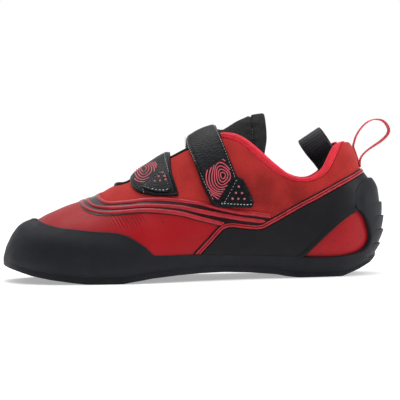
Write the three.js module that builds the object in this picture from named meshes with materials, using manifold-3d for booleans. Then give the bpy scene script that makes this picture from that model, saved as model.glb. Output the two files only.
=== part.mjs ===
// Climbing shoe for the left foot, standing empty on its sole.
// The toe points along -X, the heel along +X, the outer (little toe) side is -Y and up is +Z. Millimetres.
// Every curved piece is cut from one form, the outside of the upper, moved in or out by a named amount.

import * as THREE from 'three';
import { mergeVertices } from 'three/addons/utils/BufferGeometryUtils.js';
import Module from 'manifold-3d';

const wasm = await Module();
wasm.setup();

// Driving sizes
const shoeLength = 250;
const ballWidth = 93;
const instepHeight = 100;
const heelHeight = 88;
const soleThickness = 4.5;
const toeSpring = 11;
const archRise = 5.2;
const heelSpring = 12;
const upperWall = 2;
const clearance = 0.3;
const randThickness = 2;
const randEdgeThickness = 0.6;
const heelCupThickness = 2.9;
const ribDepth = 1.5;
const ribPitch = 8.5;
const panelThickness = 1.2;
const trimThickness = 1.7;
const trimWidth = 2.6;
const pipingWidth = 1.7;
const pipingHeight = 1.1;
const strapThickness = 1.7;
const bindingSwell = 0.9;
const tongueThickness = 3;
const insoleThickness = 2;
const loopWidth = 7;
const loopThickness = 1.1;
const tabWidth = 17;
const tabThickness = 1.3;
const tabHeight = 26;
const tabGap = 8;

// How finely the form is divided
const toeSteps = 8;
const heelSteps = 9;
const sideSteps = 13;
const ringSteps = 16;
const loopSteps = 40;

// Heights in the side view are shares of the instep height in front and of the heel height behind.
const heelCollarShare = 0.88;
const instepEnd = 0.1;
const heelStart = 0.34;

const smooth = (value) => {
  const t = Math.min(1, Math.max(0, value));
  return t * t * (3 - 2 * t);
};

const heightScale = (share) => THREE.MathUtils.lerp(
  instepHeight, heelHeight / heelCollarShare, smooth((share - instepEnd) / (heelStart - instepEnd)));

// A column of a table, read at any place with a smooth curve through its rows.
function column(rows, key, name) {
  const at = rows.map((row) => row[key]);
  const value = rows.map((row) => row[name]);
  const last = rows.length - 1;
  const slope = at.map((_, i) => {
    const a = Math.max(0, i - 1);
    const b = Math.min(last, i + 1);
    return (value[b] - value[a]) / (at[b] - at[a]);
  });
  return (place) => {
    const p = Math.min(at[last], Math.max(at[0], place));
    let i = 0;
    while (i < last - 1 && p > at[i + 1]) i += 1;
    const span = at[i + 1] - at[i];
    const t = (p - at[i]) / span;
    const rise = t * t * (3 - 2 * t);
    return value[i] * (1 - rise) + value[i + 1] * rise
      + span * (slope[i] * t * (1 - t) * (1 - t) - slope[i + 1] * t * t * (1 - t));
  };
}

// Cross sections of the upper, from toe to heel. along is a share of the shoe length from its middle;
// ridge, outer and inner are shares of the ball width; widest and top are shares of the height scale;
// fullness is the power of the section's curve, 2 for an ellipse and less for a roof.
const sections = [
  { along: -0.504, ridge: 0.13, outer: -0.33, inner: 0.4, widest: 0.2, top: 0.4, fullness: 2.2 },
  { along: -0.42, ridge: 0.11, outer: -0.36, inner: 0.42, widest: 0.17, top: 0.404, fullness: 2.2 },
  { along: -0.38, ridge: 0.1, outer: -0.385, inner: 0.435, widest: 0.155, top: 0.445, fullness: 2.2 },
  { along: -0.333, ridge: 0.08, outer: -0.42, inner: 0.46, widest: 0.14, top: 0.486, fullness: 2.15 },
  { along: -0.293, ridge: 0.07, outer: -0.455, inner: 0.48, widest: 0.135, top: 0.516, fullness: 2.1 },
  { along: -0.25, ridge: 0.06, outer: -0.48, inner: 0.495, widest: 0.13, top: 0.553, fullness: 2.1 },
  { along: -0.21, ridge: 0.05, outer: -0.495, inner: 0.5, widest: 0.135, top: 0.61, fullness: 2.05 },
  { along: -0.16, ridge: 0.04, outer: -0.5, inner: 0.48, widest: 0.14, top: 0.675, fullness: 2 },
  { along: -0.12, ridge: 0.04, outer: -0.485, inner: 0.445, widest: 0.155, top: 0.735, fullness: 1.9 },
  { along: -0.054, ridge: 0.03, outer: -0.45, inner: 0.375, widest: 0.175, top: 0.83, fullness: 1.85 },
  { along: -0.014, ridge: 0.02, outer: -0.42, inner: 0.335, widest: 0.195, top: 0.89, fullness: 1.85 },
  { along: 0.03, ridge: 0.015, outer: -0.39, inner: 0.305, widest: 0.21, top: 0.943, fullness: 1.85 },
  { along: 0.076, ridge: 0.01, outer: -0.37, inner: 0.295, widest: 0.22, top: 0.99, fullness: 1.85 },
  { along: 0.12, ridge: 0, outer: -0.355, inner: 0.295, widest: 0.23, top: 1.045, fullness: 1.9 },
  { along: 0.184, ridge: 0, outer: -0.34, inner: 0.3, widest: 0.245, top: 1.095, fullness: 2 },
  { along: 0.24, ridge: 0, outer: -0.335, inner: 0.31, widest: 0.25, top: 1.11, fullness: 2 },
  { along: 0.34, ridge: 0, outer: -0.335, inner: 0.325, widest: 0.27, top: 1.12, fullness: 2 },
  { along: 0.504, ridge: 0, outer: -0.3, inner: 0.29, widest: 0.32, top: 1.12, fullness: 2 },
];
const sectionColumn = Object.fromEntries(
  ['ridge', 'outer', 'inner', 'widest', 'top', 'fullness'].map((name) => [name, column(sections, 'along', name)]));

// The toe and the heel seen from the side: how far along the upper reaches at each height.
const toeOutline = [
  { up: -0.06, along: -0.455 },
  { up: 0.03, along: -0.48 },
  { up: 0.11, along: -0.4925 },
  { up: 0.15, along: -0.4915 },
  { up: 0.183, along: -0.488 },
  { up: 0.22, along: -0.4835 },
  { up: 0.256, along: -0.4765 },
  { up: 0.293, along: -0.4685 },
  { up: 0.325, along: -0.459 },
  { up: 0.35, along: -0.45 },
  { up: 0.37, along: -0.4395 },
  { up: 0.39, along: -0.428 },
  { up: 0.41, along: -0.42 },
];
const heelOutline = [
  { up: -0.06, along: 0.37 },
  { up: 0.03, along: 0.422 },
  { up: 0.065, along: 0.442 },
  { up: 0.117, along: 0.463 },
  { up: 0.205, along: 0.481 },
  { up: 0.29, along: 0.49 },
  { up: 0.38, along: 0.491 },
  { up: 0.43, along: 0.489 },
  { up: 0.495, along: 0.483 },
  { up: 0.57, along: 0.4715 },
  { up: 0.612, along: 0.4615 },
  { up: 0.687, along: 0.441 },
  { up: 0.77, along: 0.4335 },
  { up: 0.836, along: 0.423 },
  { up: 0.88, along: 0.41 },
  { up: 0.96, along: 0.385 },
  { up: 1.12, along: 0.35 },
];
const toeReach = column(toeOutline, 'up', 'along');
const heelReach = column(heelOutline, 'up', 'along');

// The tread line seen from the side. rise is a share of the named lift of that stretch.
const treadLine = [
  { along: -0.502, rise: 1, lift: toeSpring },
  { along: -0.474, rise: 0.82, lift: toeSpring },
  { along: -0.424, rise: 0.48, lift: toeSpring },
  { along: -0.376, rise: 0.27, lift: toeSpring },
  { along: -0.324, rise: 0.1, lift: toeSpring },
  { along: -0.284, rise: 0, lift: toeSpring },
  { along: -0.196, rise: 0, lift: archRise },
  { along: -0.168, rise: 0.24, lift: archRise },
  { along: -0.12, rise: 0.58, lift: archRise },
  { along: -0.056, rise: 0.85, lift: archRise },
  { along: 0, rise: 0.97, lift: archRise },
  { along: 0.064, rise: 1, lift: archRise },
  { along: 0.132, rise: 0.83, lift: archRise },
  { along: 0.2, rise: 0.5, lift: archRise },
  { along: 0.228, rise: 0.22, lift: archRise },
  { along: 0.26, rise: 0, lift: archRise },
  { along: 0.376, rise: 0, lift: heelSpring },
  { along: 0.424, rise: 0.34, lift: heelSpring },
  { along: 0.46, rise: 0.68, lift: heelSpring },
  { along: 0.48, rise: 1, lift: heelSpring },
];
const treadRows = treadLine.map(({ along, rise, lift }) => ({ along, height: rise * lift }));

// Height of the tread at a place along the shoe, straight from row to row so that the two rests stay flat.
function treadHeight(share) {
  const last = treadRows.length - 1;
  if (share <= treadRows[0].along) return treadRows[0].height;
  if (share >= treadRows[last].along) return treadRows[last].height;
  const i = treadRows.findIndex((row) => row.along > share) - 1;
  const [a, b] = [treadRows[i], treadRows[i + 1]];
  return THREE.MathUtils.lerp(a.height, b.height, (share - a.along) / (b.along - a.along));
}
const soleTop = (share) => treadHeight(share) + soleThickness;

// The form. Its floor lies a little below the top of the sole, where the wall is cut off.
const formFloorDrop = 7;
const floorFullness = 3;
const endFullness = 2.3;
const toeCentre = -0.34;
const heelCentre = 0.33;

// Below zero inside the form, zero on it: side term, top or floor term, and toe or heel term.
function formValue(x, y, z) {
  const share = x / shoeLength;
  const scale = heightScale(share);
  const ridge = sectionColumn.ridge(share) * ballWidth;
  const edge = (y < ridge ? sectionColumn.outer(share) : sectionColumn.inner(share)) * ballWidth;
  const fullness = sectionColumn.fullness(share);
  const side = Math.pow(Math.abs((y - ridge) / (edge - ridge)), fullness);
  const widest = Math.max(sectionColumn.widest(share) * scale, soleTop(share) + soleThickness);
  const floor = soleTop(share) - formFloorDrop;
  const up = z > widest
    ? Math.pow((z - widest) / (sectionColumn.top(share) * scale - widest), fullness)
    : Math.pow((widest - z) / (widest - floor), floorFullness);
  let end = 0;
  if (share < toeCentre) {
    end = Math.pow((toeCentre - share) / (toeCentre - toeReach(z / scale)), endFullness);
  }
  if (share > heelCentre) {
    end = Math.pow((share - heelCentre) / (heelReach(z / scale) - heelCentre), endFullness);
  }
  return side + up - 1 + end * (up < 1 ? 1 - up : 1);
}

// The spine is the line inside the form from which it is drawn; height is a share of the height scale.
const spine = [
  { along: toeCentre, height: 0.26 },
  { along: -0.16, height: 0.32 },
  { along: 0, height: 0.4 },
  { along: 0.16, height: 0.5 },
  { along: heelCentre, height: 0.5 },
];
const spineHeight = column(spine, 'along', 'height');

function spinePoint(share) {
  return new THREE.Vector3(
    share * shoeLength,
    sectionColumn.ridge(share) * ballWidth,
    spineHeight(share) * heightScale(share));
}

// Where a ray from the spine leaves the form, by halving.
function surfacePoint(start, direction) {
  let near = 0;
  let far = shoeLength;
  for (let i = 0; i < 34; i += 1) {
    const middle = (near + far) / 2;
    const p = start.clone().addScaledVector(direction, middle);
    if (formValue(p.x, p.y, p.z) < 0) near = middle;
    else far = middle;
  }
  return start.clone().addScaledVector(direction, near);
}

// Stations go once round the shoe: outer side toe to heel, round the heel, inner side back, round the toe.
function stations() {
  const list = [];
  for (let i = 0; i < sideSteps; i += 1) {
    const share = THREE.MathUtils.lerp(toeCentre, heelCentre, i / sideSteps);
    list.push({ share, crown: i, outward: [0, -1] });
  }
  for (let i = 0; i < heelSteps; i += 1) {
    const angle = Math.PI * i / heelSteps;
    list.push({ share: heelCentre, crown: sideSteps, outward: [Math.sin(angle), -Math.cos(angle)] });
  }
  for (let i = 0; i < sideSteps; i += 1) {
    const share = THREE.MathUtils.lerp(heelCentre, toeCentre, i / sideSteps);
    list.push({ share, crown: sideSteps - i, outward: [0, 1] });
  }
  for (let i = 0; i < toeSteps; i += 1) {
    const angle = Math.PI * i / toeSteps;
    list.push({ share: toeCentre, crown: 0, outward: [-Math.sin(angle), Math.cos(angle)] });
  }
  return list;
}

// The form as one closed net: rings of points between a row of floor points and a row of crown points.
function drawForm() {
  const round = stations();
  const points = [];
  const crownRow = [];
  const floorRow = [];
  for (let i = 0; i <= sideSteps; i += 1) {
    const start = spinePoint(THREE.MathUtils.lerp(toeCentre, heelCentre, i / sideSteps));
    floorRow.push(points.push(surfacePoint(start, new THREE.Vector3(0, 0, -1))) - 1);
    crownRow.push(points.push(surfacePoint(start, new THREE.Vector3(0, 0, 1))) - 1);
  }
  const columns = round.map(({ share, crown, outward }) => {
    const start = spinePoint(share);
    const line = [floorRow[crown]];
    for (let j = 1; j < ringSteps; j += 1) {
      const tilt = Math.PI * (j / ringSteps - 0.5);
      const direction = new THREE.Vector3(
        outward[0] * Math.cos(tilt), outward[1] * Math.cos(tilt), Math.sin(tilt));
      line.push(points.push(surfacePoint(start, direction)) - 1);
    }
    line.push(crownRow[crown]);
    return line;
  });
  const faces = [];
  const addFace = (a, b, c) => {
    if (a !== b && b !== c && a !== c) faces.push([a, b, c]);
  };
  columns.forEach((line, i) => {
    const next = columns[(i + 1) % columns.length];
    for (let j = 0; j < ringSteps; j += 1) {
      addFace(line[j], next[j], next[j + 1]);
      addFace(line[j], next[j + 1], line[j + 1]);
    }
  });
  return { points, faces, normals: outwardNormals(points, faces) };
}

function outwardNormals(points, faces) {
  const normals = points.map(() => new THREE.Vector3());
  for (const [a, b, c] of faces) {
    const n = points[b].clone().sub(points[a]).cross(points[c].clone().sub(points[a]));
    for (const corner of [a, b, c]) normals[corner].add(n);
  }
  return normals.map((n) => n.normalize());
}

// Solids

function solidFrom(vertProperties, triVerts) {
  return new wasm.Manifold(new wasm.Mesh({ numProp: 3, vertProperties, triVerts }));
}

function solidOf(geometry) {
  const bare = geometry.clone();
  bare.deleteAttribute('normal');
  bare.deleteAttribute('uv');
  const merged = mergeVertices(bare, 1e-4);
  return solidFrom(new Float32Array(merged.attributes.position.array), new Uint32Array(merged.index.array));
}

const form = drawForm();

// The form moved along its normals by an amount, which may depend on the place.
function movedForm(amount) {
  const distance = typeof amount === 'function' ? amount : () => amount;
  const moved = form.points.flatMap((p, i) => p.clone().addScaledVector(form.normals[i], distance(p)).toArray());
  return solidFrom(new Float32Array(moved), new Uint32Array(form.faces.flat()));
}

function shell(inside, outside) {
  return movedForm(outside).subtract(movedForm(inside));
}

// A side-view outline pushed through the shoe from side to side, or on one side only.
const halfReach = ballWidth;
function sideCut(outline, from = -halfReach, to = halfReach) {
  const shape = new THREE.Shape(outline.map(([x, z]) => new THREE.Vector2(x, z)));
  const geometry = new THREE.ExtrudeGeometry(shape, { depth: to - from, bevelEnabled: false });
  geometry.rotateX(Math.PI / 2);
  geometry.translate(0, to, 0);
  return solidOf(geometry);
}

// A plan-view outline pushed up.
function planCut(outline, bottom, top) {
  const shape = new THREE.Shape(outline.map(([x, y]) => new THREE.Vector2(x, y)));
  const geometry = new THREE.ExtrudeGeometry(shape, { depth: top - bottom, bevelEnabled: false });
  geometry.translate(0, 0, bottom);
  return solidOf(geometry);
}

// Side-view lines are written as [along, up] shares and turned into millimetres here.
const toSide = (line) => line.map(([along, up]) => [along * shoeLength, up * heightScale(along)]);
const raised = (line, by) => line.map(([x, z]) => [x, z + by]);

// A line moved square to itself in the side view; by is positive to the left of its direction.
function beside(line, by) {
  return line.map(([x, z], i) => {
    const a = line[Math.max(0, i - 1)];
    const b = line[Math.min(line.length - 1, i + 1)];
    const size = Math.hypot(b[0] - a[0], b[1] - a[1]);
    return [x - by * (b[1] - a[1]) / size, z + by * (b[0] - a[0]) / size];
  });
}

// A band of even width along a side-view line.
const band = (line, width) => [...beside(line, width / 2), ...beside(line, -width / 2).reverse()];

const above = 1.4 * instepHeight;
const below = -2 * soleThickness;
const beyond = 0.6 * shoeLength;
const soleTopLine = (extra) => treadRows.map(({ along }) => [along * shoeLength, soleTop(along) + extra]);

// Everything higher than the sole by the clearance: keeps walls and rands off it.
function overSole(extra) {
  const line = soleTopLine(extra);
  const first = line[0];
  const last = line[line.length - 1];
  return sideCut([[-beyond, first[1]], ...line, [beyond, last[1]], [beyond, above], [-beyond, above]]);
}

// Collar: its top edge and the lower edge of its binding, front to heel.
const collarTop = toSide([
  [0.07, 0.945], [0.0876, 0.948], [0.107, 0.939], [0.13, 0.909], [0.154, 0.859], [0.179, 0.8],
  [0.204, 0.741], [0.229, 0.688], [0.247, 0.659], [0.268, 0.645], [0.288, 0.647], [0.307, 0.669],
  [0.323, 0.703], [0.337, 0.761], [0.35, 0.818], [0.363, 0.857], [0.383, 0.876], [0.411, 0.877], [0.46, 0.877],
]);
const bindingFoot = toSide([
  [0.07, 0.913], [0.092, 0.904], [0.118, 0.874], [0.144, 0.82], [0.171, 0.752], [0.204, 0.686],
  [0.235, 0.638], [0.261, 0.612], [0.288, 0.609], [0.312, 0.628], [0.334, 0.664], [0.35, 0.715],
  [0.362, 0.772], [0.372, 0.813], [0.388, 0.836], [0.411, 0.84], [0.46, 0.84],
]);

// Throat: half widths seen from above, about the ridge. It is cut from above this share of the instep height.
const throatFloor = 0.45;
const throat = [
  { along: -0.206, half: 0.012 },
  { along: -0.2, half: 0.055 },
  { along: -0.18, half: 0.09 },
  { along: -0.12, half: 0.12 },
  { along: -0.05, half: 0.135 },
  { along: 0.02, half: 0.145 },
  { along: 0.09, half: 0.15 },
];

function throatOutline() {
  const edge = (side) => throat.map(({ along, half }) => [
    along * shoeLength, (sectionColumn.ridge(along) + side * half) * ballWidth]);
  return [...edge(-1), ...edge(1).reverse()];
}

function makeUpper() {
  const collar = raised(bindingFoot, -clearance);
  const overCollar = sideCut([...collar, [beyond, collar[collar.length - 1][1]], [beyond, above],
    [collar[0][0], above]]);
  return shell(-upperWall, 0)
    .subtract(overCollar)
    .subtract(planCut(throatOutline(), instepHeight * throatFloor, above))
    .intersect(overSole(clearance));
}

function makeBinding() {
  const last = (line) => line[line.length - 1][1];
  const strip = [...bindingFoot, [beyond, last(bindingFoot)], [beyond, last(collarTop)], ...collarTop.slice().reverse()];
  return shell(-upperWall - bindingSwell, bindingSwell).intersect(sideCut(strip));
}

// Tongue: under the throat in front, standing above the collar behind.
const tongueUnder = upperWall + bindingSwell + clearance;
const tongueSide = toSide([
  [-0.2, 0.52], [-0.12, 0.56], [-0.05, 0.62], [0.03, 0.66], [0.1, 0.66], [0.178, 0.64],
  [0.179, 0.8], [0.188, 0.93], [0.188, 1.2], [-0.2, 1.2],
]);

function makeTongue() {
  return shell(-tongueUnder - tongueThickness, -tongueUnder).intersect(sideCut(tongueSide));
}

// Rands: top edge of the toe rand and low band, and outline of the heel cup with the window left in it.
const randSplit = 0.14;
const randTop = toSide([
  [-0.42, 0.405], [-0.4016, 0.388], [-0.38, 0.369], [-0.35, 0.353], [-0.3, 0.338], [-0.263, 0.328],
  [-0.2256, 0.323], [-0.2, 0.314], [-0.176, 0.292], [-0.152, 0.254], [-0.132, 0.216], [-0.117, 0.177],
  [-0.108, 0.174], [-0.023, 0.174], [0.08, 0.165], [randSplit, 0.159],
]);
const heelBandTop = toSide([
  [randSplit, 0.159], [0.18, 0.153], [0.271, 0.142], [0.312, 0.137], [0.354, 0.137], [0.39, 0.147], [0.42, 0.167],
  [0.4375, 0.203], [0.445, 0.249], [0.442, 0.295], [0.434, 0.359], [0.423, 0.406],
  [0.408, 0.434], [0.4096, 0.491], [0.4124, 0.556], [0.4276, 0.6], [0.455, 0.617], [0.475, 0.612],
]);
const cupTopEnd = heelBandTop[heelBandTop.length - 1];

// The rand is skived: it thins towards its top edge.
const skiveHeight = 12;
function randHeightAt(x) {
  const i = Math.max(1, randTop.findIndex((p) => p[0] > x));
  const [a, b] = [randTop[i - 1], randTop[i]];
  return THREE.MathUtils.lerp(a[1], b[1], THREE.MathUtils.clamp((x - a[0]) / (b[0] - a[0]), 0, 1));
}
function skivedThickness(p) {
  const depth = smooth((randHeightAt(p.x) - p.z) / skiveHeight);
  return clearance + THREE.MathUtils.lerp(randEdgeThickness, randThickness, depth);
}

function makeToeRand() {
  const splitX = randSplit * shoeLength - clearance / 2;
  const line = randTop.slice(0, -1);
  const outline = [[-beyond, 0], [splitX, 0], [splitX, randHeightAt(splitX)], ...line.slice().reverse(),
    [line[0][0], line[0][1] + skiveHeight], [-beyond, line[0][1] + skiveHeight]];
  return shell(clearance, skivedThickness).intersect(sideCut(outline)).intersect(overSole(clearance));
}

// Heel ribs: a saw-tooth line down the back of the cup. Each tooth starts with a sharp lip and then draws in.
const ribCount = 7;
const ribTop = 0.55;
const ribTaper = 0.85;
const ribFoot = 0.97;
function ribbedBack() {
  const points = [];
  const reach = (z) => heelReach(z / heelHeight * heelCollarShare) * shoeLength + clearance + heelCupThickness;
  for (let i = 0; i < ribCount; i += 1) {
    const z = ribTop * heelHeight / heelCollarShare - i * ribPitch;
    points.push([reach(z), z]);
    points.push([reach(z - ribPitch * ribTaper) - ribDepth, z - ribPitch * ribFoot]);
  }
  return points;
}

function makeHeelRand() {
  const splitX = randSplit * shoeLength + clearance / 2;
  const ribs = ribbedBack().filter(([, z]) => z > soleThickness);
  const outline = [[splitX, 0], [splitX, heelBandTop[0][1]], ...heelBandTop.slice(1),
    [cupTopEnd[0] + heelCupThickness, cupTopEnd[1] - heelCupThickness], ...ribs, [ribs[ribs.length - 1][0], 0]];
  return shell(clearance, clearance + heelCupThickness).intersect(sideCut(outline)).intersect(overSole(clearance));
}

// Side panel: its trim runs from the low band up and back to the heel.
const trimLine = toSide([
  [-0.007, 0.172], [0.0136, 0.223], [0.0324, 0.269], [0.048, 0.31], [0.0636, 0.341], [0.084, 0.351],
  [0.112, 0.342], [0.144, 0.333], [0.162, 0.335], [0.178, 0.353], [0.21, 0.393], [0.2624, 0.463],
  [0.316, 0.53], [0.372, 0.601], [0.409, 0.643], [0.4356, 0.671], [0.48, 0.71],
]);

// The trim's front end stands this share of its width over the rand.
const trimFoot = 0.6;
function makeTrim() {
  const line = trimLine.map(([x, z], i) => (
    i === 0 ? [x, randHeightAt(x) + clearance + trimWidth * trimFoot] : [x, z]));
  return shell(clearance, clearance + trimThickness).intersect(sideCut(band(line, trimWidth)));
}

// The red window between the panel's raised edge and the heel cup, drawn a little past the cup's edge.
const windowOutline = toSide([
  [0.26, 0.13], [0.271, 0.142], [0.3, 0.204], [0.34, 0.295], [0.3816, 0.378], [0.4108, 0.417], [0.43, 0.417],
  [0.46, 0.3], [0.46, 0.13],
]);

const panelStart = 0.006;
function makeSidePanel() {
  const front = panelStart * shoeLength;
  const top = beside(trimLine, -trimWidth / 2 - clearance).filter(([x]) => x > front);
  const topEnd = top[top.length - 1][1];
  const belowTrim = [[front, 0], [front, top[0][1] - trimWidth], ...top, [beyond, topEnd], [beyond, 0]];
  const letOut = 1.5 * clearance;
  const rubber = [...raised(randTop.slice(0, -1), letOut), ...beside(heelBandTop, letOut)];
  const rubberEnd = rubber[rubber.length - 1][1];
  return shell(clearance, clearance + panelThickness)
    .intersect(sideCut(belowTrim))
    .subtract(sideCut([[-beyond, below], [-beyond, rubber[0][1]], ...rubber, [beyond, rubberEnd], [beyond, below]]))
    .subtract(sideCut(windowOutline));
}

// Raised seams round the vamp, from the outer side over the top to the inner side.
const pipingLines = {
  vamp_piping_top: [
    [-0.234, 0.6], [-0.2436, 0.568], [-0.249, 0.545], [-0.242, 0.518], [-0.226, 0.503], [-0.178, 0.509],
    [-0.136, 0.521], [-0.082, 0.522], [0.005, 0.492], [0.03, 0.475], [0.1, 0.432], [0.146, 0.418], [0.183, 0.402],
  ],
  vamp_piping_middle: [
    [-0.268, 0.56], [-0.276, 0.522], [-0.27, 0.496], [-0.256, 0.481], [-0.23, 0.474], [-0.194, 0.475],
    [-0.13, 0.486], [-0.05, 0.473], [0.004, 0.443], [0.112, 0.389], [0.155, 0.372],
  ],
  vamp_piping_low: [
    [-0.288, 0.55], [-0.291, 0.5], [-0.282, 0.473], [-0.264, 0.454], [-0.238, 0.445], [-0.21, 0.446],
    [-0.132, 0.457], [-0.05, 0.434], [0.003, 0.398], [0.044, 0.37],
  ],
};

function makePiping(line) {
  return shell(clearance, clearance + pipingHeight).intersect(sideCut(band(toSide(line), pipingWidth)));
}

// Straps: outlines of the outer side (loose end) and the inner side (sewn end).
const straps = {
  strap_front: {
    lift: clearance,
    outer: [
      [-0.148, 0.9], [-0.149, 0.715], [-0.162, 0.676], [-0.159, 0.618], [-0.143, 0.573], [-0.123, 0.556],
      [-0.093, 0.541], [-0.048, 0.54], [-0.055, 0.615], [-0.062, 0.699], [-0.066, 0.765], [-0.062, 0.9],
    ],
    inner: [
      [-0.148, 0.9], [-0.149, 0.715], [-0.148, 0.65], [-0.14, 0.56], [-0.062, 0.555], [-0.06, 0.699],
      [-0.064, 0.765], [-0.062, 0.9],
    ],
  },
  strap_rear: {
    lift: 2 * clearance + pipingHeight,
    outer: [
      [-0.02, 1.2], [-0.0192, 0.83], [-0.002, 0.698], [0.011, 0.607], [0.03, 0.503], [0.036, 0.484], [0.053, 0.472],
      [0.137, 0.467], [0.141, 0.503], [0.119, 0.634], [0.104, 0.654], [0.099, 0.693], [0.086, 0.805],
      [0.069, 0.948], [0.062, 1.2],
    ],
    inner: [
      [-0.02, 1.2], [-0.0192, 0.83], [-0.002, 0.698], [0.011, 0.607], [0.03, 0.5], [0.118, 0.5], [0.104, 0.654],
      [0.086, 0.805], [0.069, 0.948], [0.062, 1.2],
    ],
  },
};

function makeStrap({ lift, outer, inner }) {
  const outline = sideCut(toSide(outer), -halfReach, 0).add(sideCut(toSide(inner), 0, halfReach));
  return shell(lift, lift + strapThickness).intersect(outline);
}

// Outsole: the form's own outline just above the sole, let out to be flush with the rands.
function soleOutline(letOut) {
  const round = stations();
  const edge = round.map(({ share, outward }) => {
    const start = spinePoint(share);
    let near = 0;
    let far = shoeLength / 2;
    for (let i = 0; i < 30; i += 1) {
      const middle = (near + far) / 2;
      const x = start.x + outward[0] * middle;
      const y = start.y + outward[1] * middle;
      if (formValue(x, y, soleTop(x / shoeLength) + clearance) < 0) near = middle;
      else far = middle;
    }
    return new THREE.Vector2(start.x + outward[0] * near, start.y + outward[1] * near);
  });
  return edge.map((p, i) => {
    const a = edge[(i + edge.length - 1) % edge.length];
    const b = edge[(i + 1) % edge.length];
    const along = b.clone().sub(a).normalize();
    return [p.x + letOut * along.y, p.y - letOut * along.x];
  });
}

function makeOutsole() {
  const bottom = treadRows.map(({ along, height }) => [along * shoeLength, height]);
  const top = soleTopLine(0);
  const last = treadRows.length - 1;
  const profile = [[-beyond, bottom[0][1]], ...bottom, [beyond, bottom[last][1]],
    [beyond, top[last][1]], ...top.slice().reverse(), [-beyond, top[0][1]]];
  return planCut(soleOutline(clearance + randThickness), below, above).intersect(sideCut(profile));
}

function makeInsole() {
  const bottom = soleTopLine(clearance);
  const top = soleTopLine(clearance + insoleThickness);
  const last = bottom.length - 1;
  const profile = [[-beyond, bottom[0][1]], ...bottom, [beyond, bottom[last][1]],
    [beyond, top[last][1]], ...top.slice().reverse(), [-beyond, top[0][1]]];
  return movedForm(-upperWall - clearance).intersect(sideCut(profile));
}

// Heel pull loop: webbing on edge to the outer side, both legs sewn to the back of the heel.
const loopRun = [
  [0.4448, 0.69], [0.4415, 0.745], [0.435, 0.8], [0.4305, 0.845], [0.4325, 0.895], [0.445, 0.945], [0.466, 0.991],
  [0.491, 1.015], [0.508, 1.006], [0.5236, 0.963], [0.527, 0.925], [0.5196, 0.883], [0.498, 0.837],
  [0.473, 0.804], [0.456, 0.771], [0.448, 0.735],
];

// Below this share of the height scale the two legs lie together.
const loopJoin = 0.8;

function makeHeelLoop() {
  const line = toSide(loopRun).map(([x, z]) => new THREE.Vector2(x, z));
  const closed = new THREE.CatmullRomCurve3(line.map((p) => new THREE.Vector3(p.x, p.y, 0)), true, 'centripetal');
  const run = closed.getSpacedPoints(loopSteps).slice(0, -1).map((p) => [p.x, p.y]);
  const count = run.length;
  const inside = run.map(([x, z], i) => {
    const a = run[(i + count - 1) % count];
    const b = run[(i + 1) % count];
    const size = Math.hypot(b[0] - a[0], b[1] - a[1]);
    return [x + loopThickness * (b[1] - a[1]) / size, z - loopThickness * (b[0] - a[0]) / size];
  });
  const join = loopJoin * heelHeight / heelCollarShare;
  const hole = inside.filter(([, z]) => z > join);
  return sideCut(run, -loopWidth / 2, loopWidth / 2)
    .subtract(sideCut(hole, -loopWidth, loopWidth))
    .subtract(movedForm(clearance))
    .subtract(sideCut(band(trimLine, trimWidth + 2 * clearance)));
}

// Inner loop: a folded strip that stands on the inner side of the collar and leans to the toe.
const tabFoot = { along: 0.373, inward: 0.16, height: 0.735 };
const tabLean = THREE.MathUtils.degToRad(32);
const tabTurn = THREE.MathUtils.degToRad(-21);
const tabTilt = THREE.MathUtils.degToRad(16);

// Its two legs lie together up to the fork and stand apart from the spread, both shares of its height.
const tabFork = 0.35;
const tabSpread = 0.6;
const tabFootHalf = 1.05 * tabThickness;
function tabGeometry() {
  const shape = new THREE.Shape();
  const half = tabGap / 2 + tabThickness;
  const foot = tabFootHalf;
  shape.moveTo(-foot, 0);
  shape.lineTo(foot, 0);
  shape.lineTo(foot, tabHeight * tabFork);
  shape.lineTo(half, tabHeight * tabSpread);
  shape.lineTo(half, tabHeight - half);
  shape.absarc(0, tabHeight - half, half, 0, Math.PI, false);
  shape.lineTo(-half, tabHeight * tabSpread);
  shape.lineTo(-foot, tabHeight * tabFork);
  shape.closePath();
  const hole = new THREE.Path();
  const inner = tabGap / 2;
  hole.moveTo(0, tabHeight * tabFork + tabThickness / 4);
  hole.lineTo(-inner, tabHeight * tabSpread);
  hole.lineTo(-inner, tabHeight - half);
  hole.absarc(0, tabHeight - half, inner, Math.PI, 0, true);
  hole.lineTo(inner, tabHeight * tabSpread);
  hole.closePath();
  shape.holes.push(hole);
  const geometry = new THREE.ExtrudeGeometry(shape, { depth: tabWidth, bevelEnabled: false, curveSegments: 8 });
  geometry.translate(0, 0, -tabWidth / 2);
  geometry.rotateY(Math.PI / 2);
  geometry.rotateX(Math.PI / 2);
  return geometry;
}

// Materials

const paint = (color, roughness) => new THREE.MeshStandardMaterial({ color, roughness, metalness: 0 });
const blackRubber = () => paint('#26272b', 0.7);
const blackPanel = () => paint('#232427', 0.6);
const redLeather = () => paint('#c3202c', 0.45);
const redSuede = () => paint('#b5291f', 0.85);
const redKnit = () => paint('#d31f33', 0.8);
const blackLeather = () => paint('#2b2c30', 0.5);
const blackFabric = () => paint('#1c1c1f', 0.9);

function meshOf(name, solid, material) {
  const { vertProperties, triVerts } = solid.getMesh();
  const geometry = new THREE.BufferGeometry();
  geometry.setAttribute('position', new THREE.BufferAttribute(new Float32Array(vertProperties), 3));
  geometry.setIndex(new THREE.BufferAttribute(new Uint32Array(triVerts), 1));
  geometry.computeVertexNormals();
  const mesh = new THREE.Mesh(geometry, material);
  mesh.name = name;
  return mesh;
}

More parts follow.
